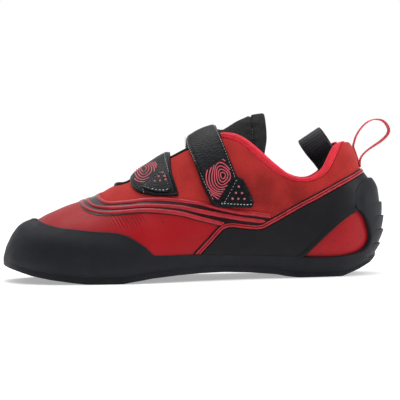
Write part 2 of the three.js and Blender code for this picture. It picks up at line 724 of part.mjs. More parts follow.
const shoe = new THREE.Group();
shoe.add(meshOf('outsole', makeOutsole(), blackRubber()));
shoe.add(meshOf('insole', makeInsole(), blackFabric()));
shoe.add(meshOf('upper', makeUpper(), redSuede()));
shoe.add(meshOf('toe_rand', makeToeRand(), blackRubber()));
shoe.add(meshOf('heel_rand', makeHeelRand(), blackRubber()));
shoe.add(meshOf('side_panel', makeSidePanel(), blackPanel()));
shoe.add(meshOf('panel_trim', makeTrim(), redLeather()));
for (const [name, line] of Object.entries(pipingLines)) {
  shoe.add(meshOf(name, makePiping(line), redLeather()));
}
shoe.add(meshOf('tongue', makeTongue(), blackFabric()));
shoe.add(meshOf('collar_binding', makeBinding(), redKnit()));
for (const [name, strap] of Object.entries(straps)) {
  shoe.add(meshOf(name, makeStrap(strap), blackLeather()));
}
shoe.add(meshOf('heel_loop', makeHeelLoop(), redKnit()));

const tab = new THREE.Mesh(tabGeometry(), blackFabric());
tab.name = 'inner_loop';
tab.position.set(
  tabFoot.along * shoeLength, tabFoot.inward * ballWidth, tabFoot.height * heelHeight / heelCollarShare);
tab.rotation.set(tabTilt, -tabLean, tabTurn, 'ZYX');
shoe.add(tab);

// The origin is under the middle of the shoe, on the floor.
const box = new THREE.Box3().setFromObject(shoe);
shoe.position.set(-(box.min.x + box.max.x) / 2, -(box.min.y + box.max.y) / 2, -box.min.z);
const part = new THREE.Group();
part.add(shoe);

export default part;
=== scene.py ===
"""Climbing shoe for the left foot: every visible piece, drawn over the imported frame.

The toe points along -X, the outer side is -Y and up is +Z. Lengths are in metres. One form, the outside of
the upper, is worked out as a net of points. Each curved piece is a patch of that net, cut along lines that
are drawn in the side view, and lifted off it by its own thickness.
"""

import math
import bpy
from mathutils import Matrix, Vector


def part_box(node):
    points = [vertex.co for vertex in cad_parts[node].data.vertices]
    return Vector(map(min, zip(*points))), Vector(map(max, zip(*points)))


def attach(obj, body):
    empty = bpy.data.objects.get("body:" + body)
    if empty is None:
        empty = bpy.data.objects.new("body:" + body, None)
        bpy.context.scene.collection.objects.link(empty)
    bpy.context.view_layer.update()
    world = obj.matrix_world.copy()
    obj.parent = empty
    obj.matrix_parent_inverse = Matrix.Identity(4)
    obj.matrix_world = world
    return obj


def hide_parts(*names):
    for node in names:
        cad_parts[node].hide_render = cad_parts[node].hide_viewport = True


bl_info = {
    "name": "Climbing Shoe",
    "version": (1, 0, 0),
    "blender": (4, 5, 0),
    "location": "3D View > Sidebar > Shoe",
    "description": "Draws a strap climbing shoe with its leather, rubber, straps and seams",
    "category": "Mesh",
}

from functools import lru_cache

import bpy
import numpy as np
from bpy.props import FloatProperty, FloatVectorProperty, PointerProperty
from mathutils import Matrix, Vector

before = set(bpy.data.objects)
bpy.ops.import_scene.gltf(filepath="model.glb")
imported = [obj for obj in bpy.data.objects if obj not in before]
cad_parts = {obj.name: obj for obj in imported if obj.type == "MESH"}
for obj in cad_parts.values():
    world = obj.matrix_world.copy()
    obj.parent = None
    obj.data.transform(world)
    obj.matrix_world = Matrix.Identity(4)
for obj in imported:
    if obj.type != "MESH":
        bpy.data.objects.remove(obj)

MM = 0.001

# Tables of the last.

# Cross sections of the upper. along is a share of the shoe length from its middle; ridge, outer and inner are
# shares of the ball width; widest and top are shares of the height scale; fullness is the section's power.
SECTION_COLUMNS = ("along", "ridge", "outer", "inner", "widest", "top", "fullness")
SECTIONS = (
    (-0.504, 0.13, -0.33, 0.4, 0.2, 0.4, 2.2),
    (-0.42, 0.11, -0.36, 0.42, 0.17, 0.404, 2.2),
    (-0.38, 0.1, -0.385, 0.435, 0.155, 0.445, 2.2),
    (-0.333, 0.08, -0.42, 0.46, 0.14, 0.486, 2.15),
    (-0.293, 0.07, -0.455, 0.48, 0.135, 0.516, 2.1),
    (-0.25, 0.06, -0.48, 0.495, 0.13, 0.553, 2.1),
    (-0.21, 0.05, -0.495, 0.5, 0.135, 0.61, 2.05),
    (-0.16, 0.04, -0.5, 0.48, 0.14, 0.675, 2.0),
    (-0.12, 0.04, -0.485, 0.445, 0.155, 0.735, 1.9),
    (-0.054, 0.03, -0.45, 0.375, 0.175, 0.83, 1.85),
    (-0.014, 0.02, -0.42, 0.335, 0.195, 0.89, 1.85),
    (0.03, 0.015, -0.39, 0.305, 0.21, 0.943, 1.85),
    (0.076, 0.01, -0.37, 0.295, 0.22, 0.99, 1.85),
    (0.12, 0.0, -0.355, 0.295, 0.23, 1.045, 1.9),
    (0.184, 0.0, -0.34, 0.3, 0.245, 1.095, 2.0),
    (0.24, 0.0, -0.335, 0.31, 0.25, 1.11, 2.0),
    (0.34, 0.0, -0.335, 0.325, 0.27, 1.12, 2.0),
    (0.504, 0.0, -0.3, 0.29, 0.32, 1.12, 2.0),
)

# The toe and the heel in the side view: (up, along), how far along the upper reaches at each height.
TOE_OUTLINE = (
    (-0.06, -0.455), (0.03, -0.48), (0.11, -0.4925), (0.15, -0.4915), (0.183, -0.488), (0.22, -0.4835),
    (0.256, -0.4765), (0.293, -0.4685), (0.325, -0.459), (0.35, -0.45), (0.37, -0.4395), (0.39, -0.428),
    (0.41, -0.42),
)
HEEL_OUTLINE = (
    (-0.06, 0.37), (0.03, 0.422), (0.065, 0.442), (0.117, 0.463), (0.205, 0.481), (0.29, 0.49),
    (0.38, 0.491), (0.43, 0.489), (0.495, 0.483), (0.57, 0.4715), (0.612, 0.4615), (0.687, 0.441),
    (0.77, 0.4335), (0.836, 0.423), (0.88, 0.41), (0.96, 0.385), (1.12, 0.35),
)

# The tread in the side view: (along, height in millimetres).
TREAD = (
    (-0.502, 11.0), (-0.474, 9.02), (-0.424, 5.28), (-0.376, 2.97), (-0.324, 1.1), (-0.284, 0.0),
    (-0.196, 0.0), (-0.168, 1.248), (-0.12, 3.016), (-0.056, 4.42), (0.0, 5.044), (0.064, 5.2),
    (0.132, 4.316), (0.2, 2.6), (0.228, 1.144), (0.26, 0.0), (0.376, 0.0), (0.424, 4.08), (0.46, 8.16),
    (0.48, 12.0),
)

# The line inside the form from which it is drawn: (along, height share).
SPINE = ((-0.34, 0.26), (-0.16, 0.32), (0.0, 0.4), (0.16, 0.5), (0.33, 0.5))
TOE_CENTRE = -0.34
HEEL_CENTRE = 0.33
END_FULLNESS = 2.3
FLOOR_FULLNESS = 3.0
FLOOR_DROP = 7 * MM

# The collar's height at the heel as a share of the rear height scale.
HEEL_SHARE = 0.88
# How often a ray's length is halved to find where it leaves the form, and the least length divided by.
HALVINGS = 26
TINY = 1e-12

# The rounded edge of the collar and the throat, how far the seams widen beside the crest of the foot, and
# how little clearance keeps two faces apart.
OPENING_EDGE = 0.8 * MM
CREST_WIDTH = 9 * MM
CLEAR = 0.05 * MM
# How far the tongue lies under the upper, where its channel is sewn (a share of the shoe length), and where
# the trim's groove runs (a share of its half width).
TONGUE_DEPTH = 1.2 * MM
TONGUE_SEAM = 0.15
TRIM_GROOVE = 0.12

# Lines of the side view, (along, up) shares.

COLLAR_TOP = (
    (0.07, 0.945), (0.0876, 0.948), (0.107, 0.939), (0.13, 0.909), (0.154, 0.859), (0.179, 0.8),
    (0.204, 0.741), (0.229, 0.688), (0.247, 0.659), (0.268, 0.645), (0.288, 0.647), (0.307, 0.669),
    (0.323, 0.703), (0.337, 0.761), (0.35, 0.818), (0.363, 0.857), (0.383, 0.876), (0.411, 0.877),
    (0.46, 0.877),
)
BINDING_FOOT = (
    (0.07, 0.913), (0.092, 0.904), (0.118, 0.874), (0.144, 0.82), (0.171, 0.752), (0.204, 0.686),
    (0.235, 0.645), (0.261, 0.624), (0.288, 0.622), (0.312, 0.639), (0.334, 0.672), (0.35, 0.72),
    (0.362, 0.774), (0.371, 0.815), (0.379, 0.843), (0.388, 0.868), (0.396, 0.873), (0.411, 0.873),
    (0.46, 0.873),
)
# Half widths of the throat in the plan view, (along, half).
THROAT = (
    (-0.206, 0.012), (-0.2, 0.055), (-0.18, 0.09), (-0.12, 0.12), (-0.05, 0.135), (0.02, 0.145),
    (0.09, 0.15),
)
TONGUE_SIDE = (
    (-0.2, 0.52), (-0.12, 0.56), (-0.05, 0.62), (0.03, 0.66), (0.1, 0.66), (0.178, 0.64),
    (0.179, 0.8), (0.188, 0.93), (0.188, 1.2), (-0.2, 1.2),
)
RAND_SPLIT = 0.14
RAND_TOP = (
    (-0.42, 0.405), (-0.4016, 0.388), (-0.38, 0.369), (-0.35, 0.353), (-0.3, 0.338), (-0.263, 0.328),
    (-0.2256, 0.323), (-0.2, 0.314), (-0.176, 0.292), (-0.152, 0.254), (-0.132, 0.216), (-0.117, 0.177),
    (-0.108, 0.174), (-0.023, 0.174), (0.08, 0.165), (0.14, 0.159),
)
HEEL_BAND_TOP = (
    (0.14, 0.159), (0.18, 0.153), (0.271, 0.142), (0.312, 0.137), (0.354, 0.137), (0.39, 0.147),
    (0.42, 0.167), (0.4375, 0.203), (0.445, 0.249), (0.442, 0.295), (0.434, 0.359), (0.423, 0.406),
    (0.408, 0.434), (0.4096, 0.491), (0.4124, 0.556), (0.4276, 0.6), (0.455, 0.617), (0.475, 0.612),
    (0.52, 0.57),
)
TRIM_LINE = (
    (-0.02, 0.13), (-0.007, 0.172), (0.0136, 0.223), (0.0324, 0.269), (0.048, 0.31), (0.0636, 0.341),
    (0.084, 0.351), (0.112, 0.342), (0.144, 0.333), (0.162, 0.335), (0.178, 0.353), (0.21, 0.393),
    (0.2624, 0.463), (0.316, 0.53), (0.372, 0.601), (0.409, 0.643), (0.4356, 0.671), (0.48, 0.71),
)
WINDOW = (
    (0.26, 0.13), (0.271, 0.142), (0.3, 0.204), (0.34, 0.295), (0.3816, 0.378), (0.4108, 0.417),
    (0.43, 0.417), (0.46, 0.3), (0.46, 0.13),
)
PIPING_TOP = (
    (-0.234, 0.6), (-0.2436, 0.568), (-0.249, 0.545), (-0.242, 0.518), (-0.226, 0.503), (-0.178, 0.509),
    (-0.136, 0.521), (-0.082, 0.522), (0.005, 0.492), (0.03, 0.475), (0.1, 0.432), (0.146, 0.418),
    (0.183, 0.402), (0.2, 0.393),
)
PIPING_MIDDLE = (
    (-0.268, 0.56), (-0.276, 0.522), (-0.27, 0.496), (-0.256, 0.481), (-0.23, 0.474), (-0.194, 0.475),
    (-0.13, 0.486), (-0.05, 0.473), (0.004, 0.443), (0.112, 0.389), (0.165, 0.368),
)
PIPING_LOW = (
    (-0.288, 0.55), (-0.291, 0.5), (-0.282, 0.473), (-0.264, 0.454), (-0.238, 0.445), (-0.21, 0.446),
    (-0.132, 0.457), (-0.05, 0.434), (0.003, 0.398), (0.06, 0.36),
)
# Widths of the three raised seams, (along, width in millimetres).
PIPING_WIDTHS = {
    "top": ((-0.25, 2.2), (-0.2, 2.7), (-0.05, 2.6), (0.0, 2.3), (0.1, 2.7), (0.16, 2.9)),
    "middle": ((-0.27, 2.1), (-0.2, 2.5), (-0.1, 2.4), (-0.02, 2.8), (0.05, 3.1), (0.16, 2.6)),
    "low": ((-0.28, 2.0), (-0.2, 2.4), (-0.12, 2.8), (0.05, 2.8)),
}
STRAP_FRONT_OUTER = (
    (-0.1525, 0.9), (-0.1535, 0.715), (-0.1635, 0.676), (-0.1655, 0.63), (-0.1625, 0.598), (-0.147, 0.565),
    (-0.103, 0.544), (-0.048, 0.54), (-0.055, 0.615), (-0.062, 0.699), (-0.0615, 0.765), (-0.056, 0.9),
)
STRAP_FRONT_INNER = (
    (-0.1525, 0.9), (-0.1535, 0.715), (-0.15, 0.65), (-0.14, 0.56), (-0.062, 0.555), (-0.06, 0.699),
    (-0.0615, 0.765), (-0.056, 0.9),
)
STRAP_REAR_OUTER = (
    (-0.013, 1.2), (-0.0125, 0.83), (0.002, 0.698), (0.012, 0.607), (0.03, 0.503), (0.036, 0.478),
    (0.053, 0.464), (0.1385, 0.457), (0.1435, 0.497), (0.119, 0.634), (0.104, 0.654), (0.098, 0.693),
    (0.083, 0.805), (0.065, 0.948), (0.058, 1.2),
)
STRAP_REAR_INNER = (
    (-0.013, 1.2), (-0.0125, 0.83), (0.002, 0.698), (0.012, 0.607), (0.03, 0.5), (0.118, 0.5),
    (0.104, 0.654), (0.083, 0.805), (0.065, 0.948), (0.058, 1.2),
)
PATCH_REAR = (
    (0.0977, 0.638), (0.117, 0.628), (0.127, 0.578), (0.1355, 0.533), (0.14, 0.497), (0.136, 0.465),
    (0.1, 0.464), (0.055, 0.473), (0.0695, 0.5245), (0.084, 0.5811),
)
PATCH_FRONT = (
    (-0.0927, 0.688), (-0.08, 0.6895), (-0.0738, 0.6715), (-0.0703, 0.6219), (-0.0656, 0.585),
    (-0.078, 0.558), (-0.11, 0.5605), (-0.14, 0.586), (-0.1313, 0.611), (-0.1107, 0.6448),
)
DOTS_REAR = (
    (0.1048, 0.5846), (0.0966, 0.5463), (0.1122, 0.5455), (0.0869, 0.5111), (0.1017, 0.5104),
    (0.1173, 0.5096),
)
DOTS_FRONT = (
    (-0.0834, 0.6738), (-0.0937, 0.649), (-0.0803, 0.6509), (-0.1051, 0.6211), (-0.0916, 0.623),
    (-0.0779, 0.6311),
)
PINHOLES = (
    (-0.0924, 0.385), (-0.0412, 0.37), (0.3812, 0.297), (0.3492, 0.234), (0.4228, 0.256), (0.3872, 0.21),
    (0.3136, 0.159),
)
# Lines just inside the long edges of the straps, where they are sewn.
STRAP_EDGES = {
    "strap_front": (
        ((-0.142, 0.9), (-0.1425, 0.715), (-0.1425, 0.66), (-0.136, 0.56)),
        ((-0.069, 0.9), (-0.0725, 0.765), (-0.069, 0.69)),
    ),
    "strap_rear": (
        ((-0.012, 1.2), (-0.0118, 0.83), (0.0052, 0.698), (0.018, 0.607), (0.036, 0.51)),
        ((0.055, 1.2), (0.0615, 0.948), (0.0785, 0.805), (0.0915, 0.693), (0.0975, 0.645)),
    ),
}
LOOP_RUN = (
    (0.442, 0.7), (0.4365, 0.745), (0.4295, 0.8), (0.4245, 0.84), (0.4275, 0.872), (0.432, 0.906),
    (0.4415, 0.947), (0.4585, 0.9935), (0.4755, 1.017), (0.4905, 1.023), (0.5075, 1.013), (0.5205, 0.98),
    (0.5255, 0.942), (0.5195, 0.906), (0.5035, 0.869), (0.4845, 0.838), (0.465, 0.805), (0.4515, 0.771),
    (0.4465, 0.74), (0.4465, 0.71),
)


# Curves and the last.

def smooth(value):
    """Rises from 0 to 1 without a kink as value goes from 0 to 1."""
    t = np.clip(value, 0, 1)
    return t * t * (3 - 2 * t)


def hill(distance, width):
    """A soft bump of height 1 at distance 0, gone at about twice the width."""
    return np.exp(-(distance / width) ** 2)


def column(at, values):
    """Reads a table column at any places: cubic pieces whose slope at a row is that of its two neighbours."""
    at, values = np.asarray(at, float), np.asarray(values, float)
    last = len(at) - 1
    before = np.maximum(np.arange(last + 1) - 1, 0)
    after = np.minimum(np.arange(last + 1) + 1, last)
    slope = (values[after] - values[before]) / (at[after] - at[before])

    def read(place):
        place = np.clip(place, at[0], at[-1])
        i = np.clip(np.searchsorted(at, place) - 1, 0, last - 1)
        span = at[i + 1] - at[i]
        t = (place - at[i]) / span
        rise = t * t * (3 - 2 * t)
        bend = slope[i] * t * (1 - t) ** 2 - slope[i + 1] * t * t * (1 - t)
        return values[i] * (1 - rise) + values[i + 1] * rise + span * bend

    return read


def unit(vectors):
    """Vectors of length 1."""
    return vectors / np.maximum(np.linalg.norm(vectors, axis=1), TINY)[:, None]


def reach_along(path):
    """Length along a path at each of its points."""
    return np.concatenate([[0], np.cumsum(np.linalg.norm(np.diff(path, axis=0), axis=1))])


def curve_through(points, steps):
    """A smooth curve through points, each coordinate read from a column over the length of the chain."""
    points = np.asarray(points, float)
    if len(points) == 2:
        return points
    reach = reach_along(points)
    parts = [np.linspace(a, b, steps, endpoint=False) for a, b in zip(reach, reach[1:])]
    places = np.append(np.concatenate(parts), reach[-1])
    return np.stack([column(reach, points[:, k])(places) for k in range(points.shape[1])], axis=1)


def smooth_line(points, corners=(), steps=6):
    """A curve through the points that keeps a corner at each point numbered in corners."""
    points = np.asarray(points, float)
    stops = [0, *corners, len(points) - 1]
    runs = [curve_through(points[a:b + 1], steps) for a, b in zip(stops, stops[1:]) if b > a]
    return np.vstack([run[:-1] for run in runs] + [runs[-1][-1:]])


def beside(line, by):
    """The line moved square to itself, to its left where by is positive."""
    line = np.asarray(line, float)
    run = unit(np.gradient(line, axis=0))
    return line + by * np.stack([-run[:, 1], run[:, 0]], axis=1)


def read_along(places, reach, values):
    """Rows of values read at places along a path, straight from point to point."""
    return np.stack([np.interp(places, reach, values[:, k]) for k in range(values.shape[1])], axis=1)


def evenly(path, gap, values=None):
    """Points a fixed gap apart along a path, or the values that its points have, read there."""
    reach = reach_along(path)
    count = max(2, int(round(reach[-1] / gap)) + 1)
    return read_along(np.linspace(0, reach[-1], count), reach, path if values is None else values)


class Last:
    """The outside of the upper as a closed form, worked out from four sizes and the tables above."""

    def __init__(self, length, ball, instep, heel):
        self.length, self.ball, self.instep, self.heel = length, ball, instep, heel
        self.beyond, self.above = 0.6 * length, 1.5 * instep
        rows = dict(zip(SECTION_COLUMNS, np.array(SECTIONS).T))
        self.read = {name: column(rows["along"], rows[name]) for name in SECTION_COLUMNS[1:]}
        toe, heel_rows = np.array(TOE_OUTLINE), np.array(HEEL_OUTLINE)
        self.toe_reach = column(toe[:, 0], toe[:, 1])
        self.heel_reach = column(heel_rows[:, 0], heel_rows[:, 1])
        spine = np.array(SPINE)
        self.spine_height = column(spine[:, 0], spine[:, 1])
        self.tread_rows = np.array(TREAD) * (1, MM)

    def height_scale(self, share):
        """Heights are shares of the instep height in front and of the heel height behind."""
        blend = smooth((share - 0.1) / 0.24)
        return self.instep * (1 - blend) + self.heel / HEEL_SHARE * blend

    def tread(self, share):
        """Height of the tread, straight from row to row so that the two rests stay flat."""
        return np.interp(share, self.tread_rows[:, 0], self.tread_rows[:, 1])

    def side(self, line):
        """Turns (along, up) shares into metres of the side view."""
        line = np.asarray(line, float)
        return np.stack([line[:, 0] * self.length, line[:, 1] * self.height_scale(line[:, 0])], axis=1)

    def line(self, rows, corners=(), steps=6):
        """A smooth line through (along, up) shares, in metres of the side view."""
        return self.side(smooth_line(rows, corners, steps))

    def area(self, line, level, whole=False):
        """The side-view outline of all between a line, run level to the rear, and a height."""
        front = -self.beyond if whole else line[0, 0]
        return np.vstack([line, (self.beyond, line[-1, 1]), (self.beyond, level), (front, level),
                          (front, line[0, 1])])

    def value(self, x, y, z, sole):
        """Below 0 inside the form: a side power, a top or floor power, less one, and a toe or heel power."""
        share = x / self.length
        scale = self.height_scale(share)
        ridge = self.read["ridge"](share) * self.ball
        edge = np.where(y < ridge, self.read["outer"](share), self.read["inner"](share)) * self.ball
        fullness = self.read["fullness"](share)
        side = np.abs((y - ridge) / (edge - ridge)) ** fullness
        sole_top = self.tread(share) + sole
        widest = np.maximum(self.read["widest"](share) * scale, sole_top + sole)
        floor = sole_top - FLOOR_DROP
        over = np.maximum((z - widest) / (self.read["top"](share) * scale - widest), 0) ** fullness
        under = np.maximum((widest - z) / (widest - floor), 0) ** FLOOR_FULLNESS
        up = np.where(z > widest, over, under)
        toe = np.maximum((TOE_CENTRE - share) / (TOE_CENTRE - self.toe_reach(z / scale)), 0)
        heel = np.maximum((share - HEEL_CENTRE) / (self.heel_reach(z / scale) - HEEL_CENTRE), 0)
        end = np.where(share < 0, toe, heel) ** END_FULLNESS
        return side + up - 1 + end * np.where(up < 1, 1 - up, 1)

    def spine_point(self, share):
        share = np.asarray(share, float)
        return np.stack([
            share * self.length,
            self.read["ridge"](share) * self.ball,
            self.spine_height(share) * self.height_scale(share)], axis=-1)

    def leave(self, start, direction, sole):
        """Where rays from inside leave the form, by halving."""
        near = np.zeros(direction.shape[:-1])
        far = np.full(direction.shape[:-1], self.length)
        for _ in range(HALVINGS):
            middle = (near + far) / 2
            p = start + direction * middle[..., None]
            inside = self.value(p[..., 0], p[..., 1], p[..., 2], sole) < 0
            near = np.where(inside, middle, near)
            far = np.where(inside, far, middle)
        return start + direction * near[..., None]


@lru_cache(maxsize=4)
def last_of(length, ball, instep, heel):
    return Last(length, ball, instep, heel)


def the_last():
    sizes = bpy.context.scene.shoe_sizes
    return last_of(sizes.shoe_length, sizes.ball_width, sizes.instep_height, sizes.heel_height)


def sole_thickness():
    return bpy.context.scene.shoe_sizes.sole_thickness


def the_shoe():
    return the_last(), bpy.context.scene.shoe_sizes


# The net of points on the last.

def stations(side_steps, heel_steps, toe_steps):
    """Places once round the shoe: outer side toe to heel, round the heel, inner side back, round the toe."""
    out_share = np.linspace(TOE_CENTRE, HEEL_CENTRE, side_steps, endpoint=False)
    back_share = np.linspace(HEEL_CENTRE, TOE_CENTRE, side_steps, endpoint=False)
    heel_turn = np.pi * np.arange(heel_steps) / heel_steps
    toe_turn = np.pi * np.arange(toe_steps) / toe_steps
    share = np.concatenate([
        out_share, np.full(heel_steps, HEEL_CENTRE), back_share, np.full(toe_steps, TOE_CENTRE)])
    crown = np.concatenate([
        np.arange(side_steps), np.full(heel_steps, side_steps),
        side_steps - np.arange(side_steps), np.zeros(toe_steps, int)])
    outward = np.concatenate([
        np.tile((0.0, -1.0), (side_steps, 1)),
        np.stack([np.sin(heel_turn), -np.cos(heel_turn)], axis=1),
        np.tile((0.0, 1.0), (side_steps, 1)),
        np.stack([-np.sin(toe_turn), np.cos(toe_turn)], axis=1)])
    return share, crown, outward


def outward_directions(points, faces):
    """Unit directions square to a net at its points, the area-weighted mean of its faces."""
    a, b, c = (points[faces[:, k]] for k in range(3))
    square = np.cross(b - a, c - a)
    return unit(np.stack([
        sum(np.bincount(faces[:, k], square[:, axis], len(points)) for k in range(3))
        for axis in range(3)], axis=1))


def halves(a, b, c, d):
    """Two triangles for each four-sided field, from the numbers of its corners."""
    return np.concatenate([
        np.stack([a, b, c], axis=-1).reshape(-1, 3), np.stack([a, c, d], axis=-1).reshape(-1, 3)])


def round_trip(grid):
    """Triangles of a grid whose last row joins its first."""
    after = np.roll(grid, -1, axis=0)
    return halves(grid[:, :-1], after[:, :-1], after[:, 1:], grid[:, 1:])


def tube(grid):
    """Triangles of a grid whose rows are rings."""
    after = np.roll(grid, -1, axis=1)
    return halves(grid[:-1], after[:-1], after[1:], grid[1:])


def whole(faces):
    """The triangles that have three corners."""
    return faces[(faces[:, 0] != faces[:, 1]) & (faces[:, 1] != faces[:, 2]) & (faces[:, 0] != faces[:, 2])]


def draw_net(last, sole, side_steps, heel_steps, toe_steps, rings):
    """The closed net: at each station, rays from the spine tilted from straight down to straight up."""
    share, crown, outward = stations(side_steps, heel_steps, toe_steps)
    tilt = np.pi * (np.arange(1, rings) / rings - 0.5)
    flat = np.cos(tilt)[None, :, None] * outward[:, None, :]
    up = np.broadcast_to(np.sin(tilt)[None, :, None], (*flat.shape[:2], 1))
    start = last.spine_point(share)[:, None, :]
    body = last.leave(np.broadcast_to(start, (*flat.shape[:2], 3)), np.concatenate([flat, up], axis=2), sole)
    spine = last.spine_point(np.linspace(TOE_CENTRE, HEEL_CENTRE, side_steps + 1))
    floor_row = last.leave(spine, np.tile((0.0, 0.0, -1.0), (side_steps + 1, 1)), sole)
    crown_row = last.leave(spine, np.tile((0.0, 0.0, 1.0), (side_steps + 1, 1)), sole)
    count = side_steps + 1
    numbers = 2 * count + np.arange(body.shape[0] * body.shape[1]).reshape(body.shape[:2])
    grid = np.hstack([crown[:, None], numbers, (count + crown)[:, None]])
    return np.concatenate([floor_row, crown_row, body.reshape(-1, 3)]), whole(round_trip(grid))


# Soft dents and swellings: side-view place (along, up), length, width, turn in degrees and
# height in millimetres, on the outer side where side is -1, the inner where it is 1, on both where it is 0.
DENTS = (
    (0.155, 0.62, 26, 9, -42, 1.1, 0),
    (0.3, 0.55, 30, 7, 12, 0.9, 0),
    (0.395, 0.76, 10, 9, 60, 1.0, 0),
    (-0.03, 0.62, 30, 5, 62, -0.7, 0),
    (-0.185, 0.545, 14, 3, 40, -0.45, 0),
    (-0.12, 0.4, 20, 4, -30, -0.3, -1),
    (-0.143, 0.402, 6, 1.2, 118, -0.3, -1),
    (0.22, 0.52, 26, 6, 40, -0.5, -1),
    (0.27, 0.57, 14, 3, 20, -0.35, 0),
    (-0.178, 0.655, 15, 5, 33, -1.6, 0),
    (-0.12, 0.745, 24, 5, 38, -0.8, 0),
    (0.14, 1.06, 26, 9, 15, 1.3, 0),
    (-0.055, 0.6, 18, 4, 70, 0.5, -1),
    (0.335, 0.62, 12, 5, 60, -0.4, 0),
    (-0.4135, 0.405, 8, 5, 0, -0.6, 0),
    (-0.436, 0.39, 9, 4, 30, 0.45, 0),
    (-0.385, 0.435, 22, 5, 20, -0.9, 0),
    (-0.133, 0.35, 26, 8, 97, 0.9, -1),
)


def relief(last, points):
    """Height added to the bare form: each dent is a long soft bump turned in the side view."""
    height = np.zeros(len(points))
    for along, up, long, wide, turn, rise, side in DENTS:
        centre = last.side([(along, up)])[0]
        x, z = points[:, 0] - centre[0], points[:, 2] - centre[1]
        angle = math.radians(turn)
        lengthwise = x * math.cos(angle) + z * math.sin(angle)
        across = z * math.cos(angle) - x * math.sin(angle)
        bump = hill(lengthwise, long * MM / 2) * hill(across, wide * MM)
        if side:
            bump = bump * (points[:, 1] * side > 0)
        height += rise * MM * bump
    return height


@lru_cache(maxsize=4)
def skin_of(last, sole, fine):
    """The net with its relief: its points, the directions square to it and its triangles."""
    counts = (158, 106, 110, 138) if fine else (72, 40, 42, 54)
    points, faces = draw_net(last, sole, *counts)
    out = outward_directions(points, faces)
    points = points + out * relief(last, points)[:, None]
    return {"point": points, "out": outward_directions(points, faces)}, faces


def skin(fine=True):
    """A new patch that holds the whole outside of the upper."""
    return Patch(*skin_of(the_last(), sole_thickness(), fine))


# Patches of the net.

class Patch:
    """A part of the net: arrays of values at its points, and its triangles."""

    def __init__(self, values, faces):
        self.values, self.faces = dict(values), faces

    def __getitem__(self, name):
        return self.values["point"][:, "xyz".index(name)] if len(name) == 1 else self.values[name]

    def __setitem__(self, name, value):
        self.values[name] = np.asarray(value, float)

    def copy(self):
        return Patch(self.values, self.faces)

    @property
    def side_view(self):
        return self["point"][:, [0, 2]]

    def choose(self, wanted):
        """Keeps the chosen triangles and the points that they use."""
        faces = self.faces[wanted]
        used, numbers = np.unique(faces, return_inverse=True)
        return Patch({name: value[used] for name, value in self.values.items()}, numbers.reshape(-1, 3))

    def within(self, low, high):
        """Keeps the triangles whose points all lie between two corners of the side view."""
        view = self.side_view
        inside = ((view >= low) & (view <= high)).all(axis=1)
        return self.choose(inside[self.faces].all(axis=1))

    def split(self, name, level):
        """Cuts each triangle that a level of a named value crosses, so that the level becomes edges."""
        value = self[name] - level
        value[np.abs(value) < 0.03 * MM] = 0
        corner = np.sign(value)[self.faces]
        crossing = (corner.min(axis=1) < 0) & (corner.max(axis=1) > 0)
        if not crossing.any():
            return self
        cut, sign = self.faces[crossing], corner[crossing]
        through = (sign == 0).any(axis=1)
        odd = np.where(through[:, None], sign == 0, sign == -np.sign(sign.sum(axis=1))[:, None])
        order = (odd.argmax(axis=1)[:, None] + np.arange(3)) % 3
        a, b, c = np.take_along_axis(cut, order, axis=1).T
        ends = np.concatenate([
            np.stack([b[through], c[through]], axis=1),
            np.stack([a[~through], b[~through]], axis=1),
            np.stack([a[~through], c[~through]], axis=1)])
        pairs, which = np.unique(np.sort(ends, axis=1), axis=0, return_inverse=True)
        share = value[pairs[:, 0]] / (value[pairs[:, 0]] - value[pairs[:, 1]])
        count = len(value)
        made = count + which.reshape(-1)
        for key, old in self.values.items():
            t = share if old.ndim == 1 else share[:, None]
            self.values[key] = np.concatenate([old, old[pairs[:, 0]] * (1 - t) + old[pairs[:, 1]] * t])
        self.values[name][count:] = level
        passing, rest = through.sum(), (~through).sum()
        m, n, o = made[:passing], made[passing:passing + rest], made[passing + rest:]
        a0, b0, c0 = a[through], b[through], c[through]
        a1, b1, c1 = a[~through], b[~through], c[~through]
        self.faces = np.concatenate([
            self.faces[~crossing],
            np.stack([a0, b0, m], axis=1), np.stack([a0, m, c0], axis=1),
            np.stack([a1, n, o], axis=1), np.stack([n, b1, c1], axis=1), np.stack([n, c1, o], axis=1)])
        return self

    def split_at(self, name, levels):
        """Splits at several levels, so that a relief has edges to follow."""
        for level in levels:
            self.split(name, level)

    def cut(self, name, radius=0.0, level=0.0):
        """Keeps what lies where the named depth is above the level, with edges ready for a rounded rim."""
        steps = (0, 0.06, 0.22, 0.5, 1) if radius else (0,)
        self.split_at(name, [level + step * radius for step in steps])
        corner = self[name][self.faces] - level
        return self.choose((corner.min(axis=1) > -0.05 * MM) & (corner.mean(axis=1) > 0))

    def shell(self, outer, inner):
        """A closed wall: the patch moved out by one height and by another, and joined along its rim."""
        count = len(self["point"])
        outer = np.broadcast_to(outer, (count,))[:, None]
        inner = np.broadcast_to(inner, (count,))[:, None]
        points = np.concatenate([self["point"] + self["out"] * outer, self["point"] + self["out"] * inner])
        f = self.faces
        ends = np.concatenate([f[:, [0, 1]], f[:, [1, 2]], f[:, [2, 0]]])
        there = ends[:, 0] * count + ends[:, 1]
        back = ends[:, 1] * count + ends[:, 0]
        rim = ends[~np.isin(there, back)]
        i, j = rim.T
        return points, np.concatenate([
            f, f[:, ::-1] + count,
            np.stack([j, i, i + count], axis=1), np.stack([j, i + count, j + count], axis=1)])


